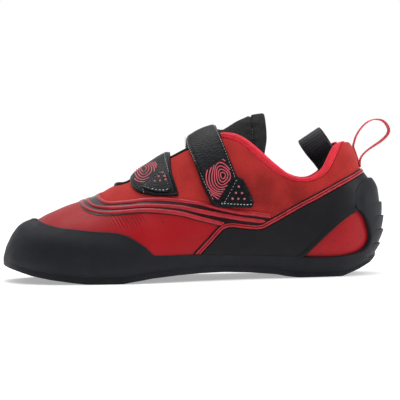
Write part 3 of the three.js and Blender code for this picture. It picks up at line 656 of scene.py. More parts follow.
def nearest(points, line):
    """Distance from points to a chain of straight pieces, their side of it (left is 1) and the way there."""
    best = np.full(len(points), np.inf)
    side = np.zeros(len(points))
    away = np.zeros((len(points), 2))
    for a, b in zip(line[:-1], line[1:]):
        run = b - a
        size = run @ run
        if size == 0:
            continue
        offset = points - a
        t = np.clip(offset @ run / size, 0, 1)
        offset = offset - t[:, None] * run
        gap = (offset ** 2).sum(axis=1)
        closer = gap < best
        best[closer] = gap[closer]
        side[closer] = np.sign(run[0] * offset[closer, 1] - run[1] * offset[closer, 0])
        away[closer] = offset[closer]
    return np.sqrt(best), side, away


def inside_of(points, outline):
    """True where a closed outline goes round a point: an odd number of its pieces pass to the right of it."""
    inside = np.zeros(len(points), bool)
    for a, b in zip(outline, np.roll(outline, -1, axis=0)):
        if a[1] == b[1]:
            continue
        spans = (a[1] > points[:, 1]) != (b[1] > points[:, 1])
        crossing = a[0] + (points[:, 1] - a[1]) * (b[0] - a[0]) / (b[1] - a[1])
        inside ^= spans & (points[:, 0] < crossing)
    return inside


def along_skin(distance, away, out):
    """A distance of the side view measured on the skin: divided by how far the skin turns from the view."""
    size = np.maximum(np.linalg.norm(away, axis=1), 1e-9)
    lean = (away * out[:, [0, 2]]).sum(axis=1) / size
    return distance / np.sqrt(np.clip(1 - lean ** 2, 0.15, 1))


def depth_in(patch, outline, view=None):
    """How deep the patch's points lie inside a closed side-view outline; below 0 outside it."""
    outline = np.asarray(outline)
    view = patch.side_view if view is None else view
    gap, _, away = nearest(view, np.vstack([outline, outline[:1]]))
    gap = along_skin(gap, away, patch["out"])
    return np.where(inside_of(view, outline), gap, -gap)


def collar_view(patch):
    """The side view in which the collar is drawn: the inner side dips and rises a little nearer the heel."""
    last, sizes = the_shoe()
    view = patch.side_view.copy()
    share = view[:, 0] / last.length
    near_heel = smooth((share - 0.2) / 0.08) * (1 - smooth((share - 0.35) / 0.05))
    view[:, 0] -= sizes.inner_dip * near_heel * (patch["y"] > 0)
    return view


def offset_from(patch, line, view=None):
    """Signed distance from a side-view line, above 0 to its left."""
    gap, side, away = nearest(patch.side_view if view is None else view, line)
    return along_skin(gap, away, patch["out"]) * np.where(side == 0, 1, side)


def rounding(depth, radius):
    """How far a rounded rim drops at a depth: a quarter circle of that radius."""
    near = 1 - np.clip(depth / radius, 0, 1)
    return radius * (1 - np.sqrt(np.clip(1 - near ** 2, 0, 1)))


def inside_throat(patch):
    """How far inside the throat's long edges the patch's points lie, read from the plan view."""
    last = the_last()
    rows = np.array(THROAT)
    share = patch["x"] / last.length
    beside_ridge = np.abs(patch["y"] - last.read["ridge"](share) * last.ball)
    return np.interp(share, rows[:, 0], rows[:, 1]) * last.ball - beside_ridge


def throat_sides(rows):
    """The throat's outer and inner edge in the plan view, through rows of (along, half)."""
    last = the_last()
    x, half = rows[:, 0] * last.length, rows[:, 1] * last.ball
    ridge = last.read["ridge"](rows[:, 0]) * last.ball
    return np.stack([x, ridge - half], axis=1), np.stack([x, ridge + half], axis=1)


def over_sole(patch):
    """Height above the sole's top, with the fitting gap."""
    last = the_last()
    x, z = patch["x"], patch["z"]
    return z - last.tread(x / last.length) - sole_thickness() - bpy.context.scene.shoe_sizes.fitting_gap


# Meshes and pieces.

def place_of_last():
    """Where the last's middle stands in the row frame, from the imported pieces."""
    sizes = bpy.context.scene.shoe_sizes
    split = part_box("toe_rand")[1].x
    low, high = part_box("heel_loop")
    x = split - (RAND_SPLIT * sizes.shoe_length - sizes.fitting_gap / 2)
    return np.array([x, (low.y + high.y) / 2, 0.0])


def outward(points, faces):
    """Turns a closed mesh so that its faces point out, by the sign of its volume."""
    a, b, c = (points[faces[:, k]] for k in range(3))
    return faces if np.einsum("ij,ij->", a, np.cross(b, c)) > 0 else faces[:, ::-1]


def add_piece(name, parts, finish, nodes=(), maps=None, crease=38):
    """Puts one or more closed meshes into one object, which rides with the shoe."""
    points = np.concatenate([p for p, _ in parts]) + place_of_last()
    starts = np.cumsum([0] + [len(p) for p, _ in parts[:-1]])
    faces = np.concatenate([f + start for (_, f), start in zip(parts, starts)])
    mesh = bpy.data.meshes.new(name)
    mesh.vertices.add(len(points))
    mesh.vertices.foreach_set("co", points.astype(np.float32).ravel())
    mesh.loops.add(faces.size)
    mesh.loops.foreach_set("vertex_index", faces.astype(np.int32).ravel())
    mesh.polygons.add(len(faces))
    mesh.polygons.foreach_set("loop_start", np.arange(0, faces.size, 3, dtype=np.int32))
    if maps is not None:
        layer = mesh.uv_layers.new(name="along")
        layer.data.foreach_set("uv", np.concatenate(maps)[faces].astype(np.float32).ravel())
    mesh.update(calc_edges=True)
    mesh.validate()
    mesh.shade_smooth()
    mesh.set_sharp_from_angle(angle=math.radians(crease))
    obj = bpy.data.objects.new(name, mesh)
    bpy.context.scene.collection.objects.link(obj)
    mesh.materials.append(finish_of(finish))
    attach(obj, "root")
    if nodes:
        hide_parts(*nodes)
    return obj


def square_part(up, run):
    """Directions square to run, the nearest to up."""
    return unit(up - (up * run).sum(axis=1)[:, None] * run)


def carry(path, up, profile, twist=None, swell=1.0):
    """A profile carried along a path: at each point it is square to the path, with its second axis up.

    Returns points, triangles and a map whose first value is the length along the path."""
    run = unit(np.gradient(path, axis=0))
    up = square_part(up, run)
    side = np.cross(run, up)
    if twist is not None:
        c, s = np.cos(twist)[:, None], np.sin(twist)[:, None]
        side, up = side * c + up * s, up * c - side * s
    profile = np.asarray(profile, float)
    rows, wide = len(path), len(profile)
    size = np.broadcast_to(swell, (rows,))[:, None, None]
    offsets = side[:, None] * profile[None, :, :1] + up[:, None] * profile[None, :, 1:]
    points = (path[:, None] + offsets * size).reshape(-1, 3)
    reach, around = reach_along(path), reach_along(profile)
    maps = np.stack(np.broadcast_arrays(reach[:, None], around[None, :]), axis=-1).reshape(-1, 2)
    first, final, last_ring = len(points), len(points) + 1, (rows - 1) * wide
    ring = np.arange(wide)
    turned = np.roll(ring, -1)
    faces = np.concatenate([
        tube(np.arange(rows * wide).reshape(rows, wide)),
        np.stack([np.full(wide, first), turned, ring], axis=1),
        np.stack([np.full(wide, final), last_ring + ring, last_ring + turned], axis=1)])
    points = np.vstack([points, path[0], path[-1]])
    return points, outward(points, faces), np.vstack([maps, (0, 0), (reach[-1], 0)])


def round_profile(width, height, sink, steps=7):
    """A low dome as wide and high as given, with its flat foot sunk below the surface."""
    turn = np.linspace(0, np.pi, steps)
    dome = np.stack([width / 2 * np.cos(turn), height * np.sin(turn)], axis=1)
    return np.vstack([dome, (-width / 2, -sink), (width / 2, -sink)])


def strip_profile(width, thickness, steps=4):
    """A flat strip with round edges, centred on the path."""
    turn = np.linspace(-np.pi / 2, np.pi / 2, steps)
    r = thickness / 2
    right = np.stack([width / 2 - r + r * np.cos(turn), r * np.sin(turn)], axis=1)
    return np.vstack([right, -right])


def closed_rings(rows, steps):
    """Triangles of rings that follow one another, with a fan over the first and one over the last."""
    fan, start = np.arange(1, steps - 1), (rows - 1) * steps
    return np.concatenate([
        tube(np.arange(rows * steps).reshape(rows, steps)),
        np.stack([np.zeros_like(fan), fan + 1, fan], axis=1),
        np.stack([np.full_like(fan, start), start + fan, start + fan + 1], axis=1)])


def ring_points(*coordinates):
    """Points from three coordinates, each given for rings, for places round them, or for both."""
    return np.stack(np.broadcast_arrays(*coordinates), axis=-1).reshape(-1, 3)


def repeated(local, body, centres, axes):
    """The same closed form at each of many places, turned to the axes there."""
    points = (centres[:, None] + np.einsum("pk,nkx->npx", local, np.stack(axes, axis=1))).reshape(-1, 3)
    faces = (np.arange(len(centres))[:, None, None] * len(local) + body[None]).reshape(-1, 3)
    return points, outward(points, faces)


def stitches(path, up, length, gap, radius, lift=0.0):
    """A row of short threads along a path: each is a small capsule, half sunk, with round ends."""
    reach = reach_along(path)
    count = max(1, int(reach[-1] / (length + gap)))
    middle = (np.arange(count) + 0.5) * reach[-1] / count
    centre = read_along(middle, reach, path)
    run = unit(read_along(middle + length / 4, reach, path) - centre)
    top = square_part(read_along(middle, reach, up), run)
    along = np.array([-0.5, -0.42, -0.2, 0.2, 0.42, 0.5])[:, None] * length
    thick = np.array([0.15, 0.75, 1.0, 1.0, 0.75, 0.15])[:, None] * radius
    sag = np.array([-0.9, -0.25, 0.0, 0.0, -0.25, -0.9])[:, None] * radius
    turn = 2 * np.pi * np.arange(6) / 6
    local = ring_points(along, thick * np.cos(turn), sag + thick * np.sin(turn) + lift)
    return repeated(local, closed_rings(6, 6), centre, (run, np.cross(run, top), top))


def studs(centres, up, radius, height, steps=10):
    """Low domes: rings of points that rise as a quarter circle, closed underneath."""
    side = unit(np.cross(up, (1.0, 0.0, 0.0)))
    level = np.array([-0.8, 0.0, 0.45, 0.8, 0.95])[:, None]
    ring = np.array([1.0, 1.0, 0.85, 0.5, 0.2])[:, None]
    turn = 2 * np.pi * np.arange(steps) / steps
    local = ring_points(radius * ring * np.cos(turn), radius * ring * np.sin(turn), height * level)
    return repeated(local, closed_rings(len(ring), steps), centres, (side, np.cross(up, side), up))


def lifted(points, lift):
    """Points of the bare form, moved off it by its relief and a height, and the directions square to it."""
    out = square_to(points)
    return points + out * (relief(the_last(), points) + lift)[:, None], out


def on_side(line, side, lift=0.0):
    """Points of the upper's outside that stand over a side-view line, on its outer (-1) or inner (1) side."""
    last = the_last()
    line = np.asarray(line, float)
    share = line[:, 0] / last.length
    start = np.stack([line[:, 0], last.read["ridge"](share) * last.ball, line[:, 1]], axis=1)
    way = np.tile((0.0, float(side), 0.0), (len(line), 1))
    return lifted(last.leave(start, way, sole_thickness()), lift)


def square_to(points):
    """Directions square to the form at points on it, from the form's own slope."""
    last, small = the_last(), 0.2 * MM
    slope = np.zeros_like(points)
    for axis in range(3):
        step = np.zeros(3)
        step[axis] = small
        high, low = (points + step).T, (points - step).T
        slope[:, axis] = last.value(*high, sole_thickness()) - last.value(*low, sole_thickness())
    return unit(slope)


def across(line, tilts, lift=0.0):
    """Points over the shoe from its outer to its inner side that stay on a steep side-view line."""
    last = the_last()
    order = np.argsort(line[:, 1])
    height, reach = line[order, 1], line[order, 0]
    x = np.full(len(tilts), reach.mean())
    way = np.stack([np.zeros(len(tilts)), -np.cos(tilts), np.sin(tilts)], axis=1)
    for _ in range(14):
        points = last.leave(last.spine_point(x / last.length), way, sole_thickness())
        x = np.interp(points[:, 2], height, reach)
    return lifted(points, lift)


# Finishes.

class Finish:
    """A material under construction: its shader, and the bumps and colours that feed it."""

    def __init__(self, name, colour, roughness, **settings):
        self.material = bpy.data.materials.new(name)
        self.material.use_nodes = True
        tree = self.material.node_tree
        tree.nodes.clear()
        self.nodes, self.links = tree.nodes, tree.links
        self.shader = self.nodes.new("ShaderNodeBsdfPrincipled")
        output = self.nodes.new("ShaderNodeOutputMaterial")
        self.links.new(self.shader.outputs["BSDF"], output.inputs["Surface"])
        self.shader.inputs["Base Color"].default_value = (*colour, 1)
        self.shader.inputs["Roughness"].default_value = roughness
        for socket, value in settings.items():
            self.shader.inputs[socket.replace("_", " ")].default_value = value
        coordinates = self.nodes.new("ShaderNodeTexCoord")
        self.object, self.uv = coordinates.outputs["Object"], coordinates.outputs["UV"]
        self.height = None

    def add(self, kind, links, values=(), **settings):
        """A new node: its inputs are linked to outputs or given values, and its settings are set by name."""
        node = self.nodes.new("ShaderNode" + kind)
        for name, value in settings.items():
            setattr(node, name, value)
        for socket, value in dict(values).items():
            node.inputs[socket].default_value = value
        for socket, output in links.items():
            self.links.new(output, node.inputs[socket])
        return node.outputs

    def noise(self, scale, detail=2.0, roughness=0.5):
        values = {"Scale": scale, "Detail": detail, "Roughness": roughness}
        return self.add("TexNoise", {"Vector": self.object}, values)["Fac"]

    def cells(self, scale):
        return self.add("TexVoronoi", {"Vector": self.object}, {"Scale": scale})["Distance"]

    def bands(self, scale, axis="X", distortion=0.0, place=None):
        values = {"Scale": scale, "Distortion": distortion, "Detail": 1.0}
        return self.add("TexWave", {"Vector": place or self.object}, values, bands_direction=axis)["Fac"]

    def turned(self, place, degrees):
        return self.add("Mapping", {"Vector": place}, {"Rotation": (0, math.radians(degrees), 0)})["Vector"]

    def spot(self, centre, reach):
        """1 at a place, falling to 0 at the given distances along each axis."""
        away = self.add("VectorMath", {0: self.object}, {1: centre}, operation="SUBTRACT")["Vector"]
        scaled = self.add("VectorMath", {0: away}, {1: reach}, operation="DIVIDE")["Vector"]
        size = self.add("VectorMath", {0: scaled}, operation="LENGTH")["Value"]
        ends = {"To Min": 1, "To Max": 0}
        return self.add("MapRange", {"Value": size}, ends, interpolation_type="SMOOTHSTEP")["Result"]

    def between(self, value, low, high):
        """The value, spread from one number to another."""
        values = {"From Min": 0.25, "From Max": 0.75, "To Min": low, "To Max": high}
        return self.add("MapRange", {"Value": value}, values)["Result"]

    def join(self, first, second, operation="MULTIPLY"):
        return self.add("Math", {0: first, 1: second}, operation=operation)["Value"]

    def colours(self, value, colour, *stops):
        """Base colour read from a value: stops are (place, factor), and each factor shades the colour."""
        node = self.nodes.new("ShaderNodeValToRGB")
        ramp = node.color_ramp
        while len(ramp.elements) < len(stops):
            ramp.elements.new(0.5)
        for element, (place, factor) in zip(ramp.elements, stops):
            element.position = place
            element.color = (*shade(colour, factor), 1)
        self.links.new(value, node.inputs["Fac"])
        self.links.new(node.outputs["Color"], self.shader.inputs["Base Color"])

    def rough(self, value, low, high):
        self.links.new(self.between(value, low, high), self.shader.inputs["Roughness"])

    def bump(self, value, distance):
        """Adds a relief of that depth, in metres, over the ones before it."""
        links = {"Height": value, "Normal": self.height} if self.height else {"Height": value}
        self.height = self.add("Bump", links, {"Distance": distance, "Strength": 1.0})["Normal"]
        self.links.new(self.height, self.shader.inputs["Normal"])


def shade(colour, factor):
    return tuple(min(1.0, max(0.0, c * factor)) for c in colour)


@lru_cache(maxsize=None)
def finish_of(colour_name):
    """The finish that goes with one of the shoe's colours, made the first time that it is asked for."""
    name, make = FINISHES[colour_name]
    return make(name, tuple(getattr(bpy.context.scene.shoe_colours, colour_name))).material


def suede_finish(name, colour):
    """Napped leather: cloudy colour, a patch of painted shade on the quarter below the collar, a soft sheen
    and a very fine fuzz.
    """
    f = Finish(name, colour, 0.95, Sheen_Weight=0.15, Sheen_Roughness=0.5, Sheen_Tint=(1, 0.4, 0.35, 1),
               Specular_IOR_Level=0.12)
    cloud = f.join(f.noise(70, 3), f.between(f.noise(900, 2), 0.85, 1.15))
    # A darker patch on the quarter below the collar: painted shade, not a change in the nap.
    painted_shade = f.join(cloud, f.between(f.spot((0.043, -0.035, 0.052), (0.056, 0.09, 0.031)), 0.09, -0.3), "ADD")
    f.colours(painted_shade, colour, (0.1, 0.6), (0.36, 0.86), (0.56, 1), (0.8, 1.14))
    f.bump(f.noise(1100, 3, 0.6), 0.00022)
    f.bump(f.noise(3400, 1), 0.0001)
    return f


def leather_finish(name, colour):
    """Satin leather: tight grain, a slow change of gloss and a band of creases on the outer side."""
    f = Finish(name, colour, 0.42, Specular_IOR_Level=0.2)
    f.colours(f.noise(40, 3), colour, (0.3, 0.88), (0.55, 1), (0.75, 1.06))
    f.rough(f.noise(260, 2), 0.38, 0.5)
    f.bump(f.cells(1500), 0.00005)
    f.bump(f.noise(420, 2), 0.00006)
    creases = f.bands(165, "X", 2.0, f.turned(f.object, 28))
    f.bump(f.join(creases, f.spot((-0.047, -0.042, 0.0405), (0.0165, 0.02, 0.0066))), 0.0009)
    return f


def piping_finish(name, colour):
    """Folded leather over a cord: the leather's grain with a brighter, tighter surface."""
    f = Finish(name, colour, 0.36, Coat_Weight=0.18, Coat_Roughness=0.25, Specular_IOR_Level=0.3)
    f.colours(f.noise(160, 3), colour, (0.3, 0.8), (0.7, 1.15))
    f.bump(f.cells(1700), 0.00006)
    f.bump(f.noise(700, 2), 0.00008)
    return f


def rubber_finish(name, colour):
    """Climbing rubber: matt black with a dusty bloom, fine pits and a patchy roughness."""
    f = Finish(name, colour, 0.5, Specular_IOR_Level=0.15)
    bloom = f.join(f.noise(55, 4, 0.6), f.between(f.noise(700, 2), 0.85, 1.15))
    f.colours(bloom, colour, (0.3, 0.85), (0.52, 1), (0.75, 1.3))
    f.rough(f.noise(120, 3), 0.48, 0.66)
    f.bump(f.noise(1500, 2), 0.00005)
    f.bump(f.noise(95, 2), 0.00015)
    return f


def panel_finish(name, colour):
    """Smooth coated side panel: even black with a faint orange-peel."""
    f = Finish(name, colour, 0.48, Specular_IOR_Level=0.16)
    f.colours(f.noise(70, 3), colour, (0.3, 0.85), (0.7, 1.2))
    f.rough(f.noise(200, 2), 0.44, 0.56)
    f.bump(f.noise(1300, 2), 0.00004)
    return f


def strap_finish(name, colour):
    """Pebbled strap leather: rounded grain cells under a patchy gloss."""
    f = Finish(name, colour, 0.36, Specular_IOR_Level=0.13)
    grain = f.join(f.cells(900), f.noise(600, 2), "ADD")
    f.colours(f.noise(500, 2), colour, (0.35, 0.7), (0.65, 1.45))
    f.rough(f.noise(800, 2), 0.28, 0.48)
    f.bump(grain, 0.00022)
    return f


def fabric_finish(name, colour):
    """Padded tongue cloth: a close plain weave of two crossed ribs."""
    f = Finish(name, colour, 0.85, Sheen_Weight=0.04, Sheen_Roughness=0.5, Specular_IOR_Level=0.15)
    weave = f.join(f.bands(340, "X", 1.2), f.bands(340, "Z", 1.2))
    f.colours(f.noise(300, 3), colour, (0.3, 0.7), (0.7, 1.5))
    f.bump(weave, 0.00018)
    f.bump(f.noise(260, 2), 0.0002)
    return f


def lining_finish(name, colour):
    """Dark lining and insole board: short flat fibres."""
    f = Finish(name, colour, 0.9, Specular_IOR_Level=0.2)
    f.colours(f.noise(400, 3), colour, (0.3, 0.7), (0.7, 1.4))
    f.bump(f.noise(1200, 3), 0.00015)
    return f


def knit_finish(name, colour):
    """Bright knit tape: fine slanted ribs under a soft sheen, with painted shade darkening the grooves
    between the ribs.
    """
    f = Finish(name, colour, 0.75, Sheen_Weight=0.25, Sheen_Roughness=0.4, Sheen_Tint=(1, 0.5, 0.5, 1),
               Specular_IOR_Level=0.3)
    ribs = f.bands(310, "X", 1.0, f.turned(f.object, 35))
    # The colour follows the ribs, darker in the grooves between them: painted shade.
    f.colours(f.join(ribs, f.noise(350, 2), "ADD"), colour, (0.35, 0.62), (0.9, 1), (1, 1.15))
    f.bump(ribs, 0.0002)
    f.bump(f.noise(900, 2), 0.00015)
    return f


def webbing_finish(name, colour):
    """Woven tape: ribs across its length from its own map; its colour has painted shade in the grooves and a
    painted highlight on the yarns' crowns.
    """
    f = Finish(name, colour, 0.7, Sheen_Weight=0.08, Sheen_Roughness=0.4, Specular_IOR_Level=0.25)
    ribs = f.bands(190, "X", 0.4, f.uv)
    yarns = f.bands(300, "Y", 0.6, f.uv)
    # The colour follows the weave: darker in the grooves as painted shade, paler on the yarns' crowns as a
    # painted highlight.
    f.colours(f.join(ribs, yarns), colour, (0.1, 0.7), (0.6, 1), (1.0, 1.7))
    f.bump(ribs, 0.00022)
    f.bump(yarns, 0.0001)
    return f


def thread_finish(name, colour):
    """Sewing thread: a tight twist and a slight gloss."""
    f = Finish(name, colour, 0.55)
    f.colours(f.noise(1500, 1), colour, (0.3, 0.75), (0.7, 1.2))
    f.bump(f.bands(1200, "DIAGONAL"), 0.0001)
    return f


def gloss_finish(name, colour):
    """Patent leather between the raised seams: black with a hard shine and a slightly uneven face. Its black
    also paints the shade in the grooves.
    """
    f = Finish(name, colour, 0.35, Coat_Weight=0.25, Coat_Roughness=0.2, Specular_IOR_Level=0.2)
    f.rough(f.noise(300, 2), 0.22, 0.4)
    f.bump(f.noise(500, 2), 0.00012)
    return f


def stud_finish(name, colour):
    """Small moulded studs: dull red, a little worn."""
    f = Finish(name, colour, 0.5)
    f.colours(f.noise(1200, 2), colour, (0.3, 0.6), (0.7, 1.3))
    return f


def print_finish(name, colour):
    """Raised print: thick matt ink with a slightly broken surface."""
    f = Finish(name, colour, 0.5)
    f.colours(f.noise(900, 2), colour, (0.3, 0.7), (0.7, 1.2))
    f.bump(f.noise(1800, 1), 0.00006)
    return f


# The finish of each colour: the name of its material and how it is made.
FINISHES = {
    "suede": ("suede", suede_finish),
    "leather": ("red_leather", leather_finish),
    "piping": ("piping_leather", piping_finish),
    "rubber": ("rubber", rubber_finish),
    "panel": ("side_panel", panel_finish),
    "strap": ("strap_leather", strap_finish),
    "tongue": ("tongue_cloth", fabric_finish),
    "lining": ("lining", lining_finish),
    "knit": ("knit_tape", knit_finish),
    "webbing": ("black_webbing", webbing_finish),
    "loop": ("red_webbing", webbing_finish),
    "print_ink": ("strap_print", print_finish),
    # The seam bed's finish also paints the shade in the grooves between the seams.
    "seam_bed_and_groove_shade": ("patent_leather", gloss_finish),
    "stud": ("strap_studs", stud_finish),
    "grey_thread": ("grey_thread", thread_finish),
    "dark_thread": ("dark_thread", thread_finish),
    "black_thread": ("black_thread", thread_finish),
}


# Properties.

def length(name, description, default):
    return FloatProperty(name=name, description=description, default=default * MM, min=0.0, unit="LENGTH",
                         subtype="DISTANCE", precision=5)


def tint(name, description, default):
    return FloatVectorProperty(name=name, description=description, default=default, size=3, min=0.0, max=1.0,
                               subtype="COLOR")


class ShoeSizes(bpy.types.PropertyGroup):
    """Lengths of the shoe that a user would change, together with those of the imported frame."""

    shoe_length: length("Shoe length", "From the toe's rubber to the heel's", 250)
    ball_width: length("Ball width", "Across the ball of the foot", 93)
    instep_height: length("Instep height", "Height scale of the front half", 100)
    heel_height: length("Heel height", "Top of the heel collar", 88)
    sole_thickness: length("Sole thickness", "Thickness of the outsole", 4.5)
    fitting_gap: length("Fitting gap", "Gap between pieces laid on one another", 0.3)
    wall: length("Wall", "Thickness of the upper", 2)
    rand_edge: length("Rand edge", "Thickness of the skived edge of the rand", 0.6)
    rand: length("Rand", "Thickness of the toe rand", 2)
    cup: length("Heel cup", "Thickness of the heel cup", 2.9)
    rib_depth: length("Rib depth", "Depth of the steps at the back of the heel", 1.5)
    rib_pitch: length("Rib pitch", "Height of one step at the back of the heel", 8.5)
    panel: length("Side panel", "Thickness of the side panel", 1.2)
    trim_width: length("Trim width", "Width of the trim over the side panel", 2.7)
    trim: length("Trim", "Height of the trim", 1.7)
    piping: length("Piping", "Height of the raised seams of the vamp", 1.1)
    strap: length("Strap", "Thickness of the straps", 1.7)
    tongue: length("Tongue", "Thickness of the padded tongue", 3)
    inner_dip: length("Inner dip", "How much nearer the heel the collar dips on the inner side", 7.5)
    loop_width: length("Loop width", "Width of the heel loop's webbing", 5)
    loop: length("Loop", "Thickness of the heel loop's webbing", 0.75)
    stitch: length("Stitch", "Length of one stitch of the tongue", 1.6)
    thread: length("Thread", "Thickness of the tongue's sewing thread", 0.42)


class ShoeColours(bpy.types.PropertyGroup):
    """Colours of the shoe."""

    suede: tint("Suede", "Napped leather of the quarters", (0.38, 0.025, 0.023))
    leather: tint("Leather", "Satin leather of the vamp", (0.31, 0.0035, 0.008))
    piping: tint("Piping", "Raised seams and trim", (0.36, 0.008, 0.018))
    knit: tint("Knit", "Binding of the collar", (0.68, 0.02, 0.04))
    loop: tint("Loop", "Webbing of the heel loop", (0.75, 0.07, 0.1))
    rubber: tint("Rubber", "Sole and rands", (0.0108, 0.0114, 0.0148))
    panel: tint("Panel", "Side panel", (0.0066, 0.0067, 0.0084))
    strap: tint("Strap", "Strap leather", (0.0045, 0.005, 0.0064))
    # The seam bed's near-black is partly the leather's own colour and partly painted shade for the grooves
    # between the seams.
    seam_bed_and_groove_shade: tint("Seam bed", "Leather between the raised seams", (0.02, 0.004, 0.005))
    tongue: tint("Tongue", "Tongue cloth", (0.013, 0.013, 0.014))
    lining: tint("Lining", "Inside of the shoe", (0.03, 0.027, 0.027))
    webbing: tint("Webbing", "Loop at the inner side", (0.06, 0.057, 0.066))
    stud: tint("Studs", "Studs of the strap ends", (0.42, 0.1, 0.12))
    dark_thread: tint("Dark thread", "Tongue stitching", (0.04, 0.04, 0.045))
    print_ink: tint("Print", "Raised print of the straps", (0.5, 0.06, 0.09))
    grey_thread: tint("Grey thread", "Strap stitching", (0.5, 0.5, 0.51))
    black_thread: tint("Black thread", "Trim stitching", (0.012, 0.012, 0.014))


# Pieces.

class ShoeOperator(bpy.types.Operator):
    """A step of the shoe, run in order from main or from the sidebar."""

    bl_options = {"REGISTER", "UNDO"}


class SHOE_OT_upper(ShoeOperator):
    """The hollow upper: satin vamp below the top seam, napped quarters above it, and a lining inside"""

    bl_idname = "shoe.upper"
    bl_label = "Upper"

    def openings(self, patch):
        last, sizes = the_shoe()
        foot = last.line(BINDING_FOOT) - (0, sizes.fitting_gap)
        patch["collar"] = -depth_in(patch, last.area(foot, last.above), collar_view(patch))
        patch = patch.cut("collar", OPENING_EDGE)
        outer, inner = throat_sides(smooth_line(THROAT))
        outline = np.vstack([outer, inner[::-1]])
        plan = patch["point"][:, :2]
        gap, _, _ = nearest(plan, np.vstack([outline, outline[:1]]))
        gap = np.where(inside_of(plan, outline), -gap, gap)
        patch["throat"] = np.where(patch["z"] > 0.45 * last.instep, gap, 1.0)
        patch = patch.cut("throat", OPENING_EDGE)
        patch["sole"] = over_sole(patch)
        return patch.cut("sole")

    def execute(self, context):
        last, sizes = the_shoe()
        patch = self.openings(skin())
        top, trim = last.line(PIPING_TOP), last.line(TRIM_LINE)
        behind = trim[trim[:, 0] > top[-1, 0] + 4 * MM]
        patch["quarter"] = depth_in(patch, last.area(np.vstack([top, behind]), last.above))
        patch["vamp"] = -patch["quarter"]
        quarter = patch.copy().cut("quarter")
        vamp = patch.copy().cut("vamp")
        layer = 0.55 * sizes.wall
        for name, part, finish in (("vamp", vamp, "leather"), ("quarters", quarter, "suede")):
            under_binding = 1 - 0.75 * smooth((part["x"] - 0.372 * last.length) / (4 * MM))
            at_collar = rounding(part["collar"], OPENING_EDGE) * under_binding
            drop = np.maximum(rounding(part["throat"], OPENING_EDGE), at_collar)
            add_piece(name, [part.shell(-drop, -layer)], finish, ["upper"])
        inside = self.openings(skin(False))
        add_piece("upper_lining", [inside.shell(-layer - CLEAR, -sizes.wall)], "lining",
                  ["upper"])
        return {"FINISHED"}


class SHOE_OT_rands(ShoeOperator):
    """The rubber: a toe rand skived to its top edge, and a heel cup whose back is stepped like shingles"""

    bl_idname = "shoe.rands"
    bl_label = "Rands"

    def execute(self, context):
        self.toe()
        self.heel()
        return {"FINISHED"}

    def toe(self):
        last, sizes = the_shoe()
        line = last.line(RAND_TOP)
        split = RAND_SPLIT * last.length + sizes.fitting_gap / 2 - 0.02 * MM
        line = line[line[:, 0] < split]
        high = line[0, 1] + 12 * MM
        beyond = split + 30 * MM
        outline = np.vstack([
            (-last.length, -last.heel), (beyond, -last.heel), (beyond, line[-1, 1]), line[::-1],
            (line[0, 0], high), (-last.length, high)])
        patch = skin().within((-last.length, -1), (split + 3 * MM, 0.5 * last.instep))
        patch["rand"] = depth_in(patch, outline)
        patch["end"] = split - patch["x"]
        patch["sole"] = over_sole(patch)
        patch = patch.cut("rand", 0.7 * MM).cut("end").cut("sole")
        x, edge = patch["x"], patch["rand"]
        beside_panel = smooth((x + 0.03 * last.length) / (10 * MM))
        start = sizes.rand_edge + (sizes.panel + CLEAR - sizes.rand_edge) * beside_panel
        thick = start + (sizes.rand - start) * smooth(edge / (12 * MM))
        drop = rounding(edge, 0.4 * MM) * (1 - 0.75 * beside_panel)
        add_piece("toe_rand_rubber", [patch.shell(sizes.fitting_gap + thick - drop, sizes.fitting_gap)],
                  "rubber", ["toe_rand"])

    def heel(self):
        last, sizes = the_shoe()
        split = RAND_SPLIT * last.length + sizes.fitting_gap / 2
        line = last.line(HEEL_BAND_TOP)
        line = line[line[:, 0] > split]
        before = split - 30 * MM
        outline = np.vstack([(before, -last.heel), (before, line[0, 1]), line, (last.length, line[-1, 1]),
                             (last.length, -last.heel)])
        patch = skin().within((split - 3 * MM, -1), (1, 0.75 * last.heel))
        patch["cup"] = depth_in(patch, outline)
        patch["end"] = patch["x"] - split
        patch["sole"] = over_sole(patch)
        patch = patch.cut("cup", 1.2 * MM).cut("end").cut("sole")
        tip = 0.55 * last.heel / HEEL_SHARE - sizes.rib_pitch * np.arange(6)
        step = 0.4 * MM
        patch["high"] = patch["z"]
        patch.split_at("high", np.stack([tip, tip + step], axis=1).ravel())
        x, z = patch["x"], patch["high"]
        below = (tip[0] - z) / sizes.rib_pitch
        part = np.where(below > 0, below % 1, 0)
        rise = 1 - step / sizes.rib_pitch
        tooth = np.where(part < rise + 1e-6, part, (1 - part) / (1 - rise))
        reach = last.heel_reach(z / last.height_scale(x / last.length)) * last.length
        back = smooth(1 - (reach - x) / (11 * MM))
        ribs = sizes.rib_depth * tooth * back
        full = sizes.rand + (sizes.cup - sizes.rand) * smooth((x - 0.2 * last.length) / (30 * MM))
        over_window = smooth((z - 0.42 * last.heel / HEEL_SHARE) / (6 * MM))
        ahead_of_back = 1 - smooth((x - 0.418 * last.length) / (9 * MM))
        ahead_of_cup = 1 - smooth((x - 0.255 * last.length) / (8 * MM))
        beside_panel = np.maximum(ahead_of_cup, over_window * ahead_of_back)
        full = full - (full - sizes.panel - CLEAR) * beside_panel * (1 - smooth(patch["cup"] / (12 * MM)))
        lump = 0.6 * MM * hill(x - 0.455 * last.length, 9 * MM)
        lump = lump * hill(z - 0.575 * last.heel / HEEL_SHARE, 5 * MM)
        edge_drop = rounding(patch["cup"], 1.1 * MM) * (1 - beside_panel)
        edge_drop = edge_drop + rounding(patch["cup"], 0.1 * MM) * beside_panel
        drop = np.minimum(edge_drop, full - 0.3 * MM)
        top = sizes.fitting_gap + full + lump - ribs - drop
        add_piece("heel_cup_rubber", [patch.shell(top, sizes.fitting_gap)], "rubber", ["heel_rand"],
                  crease=32)


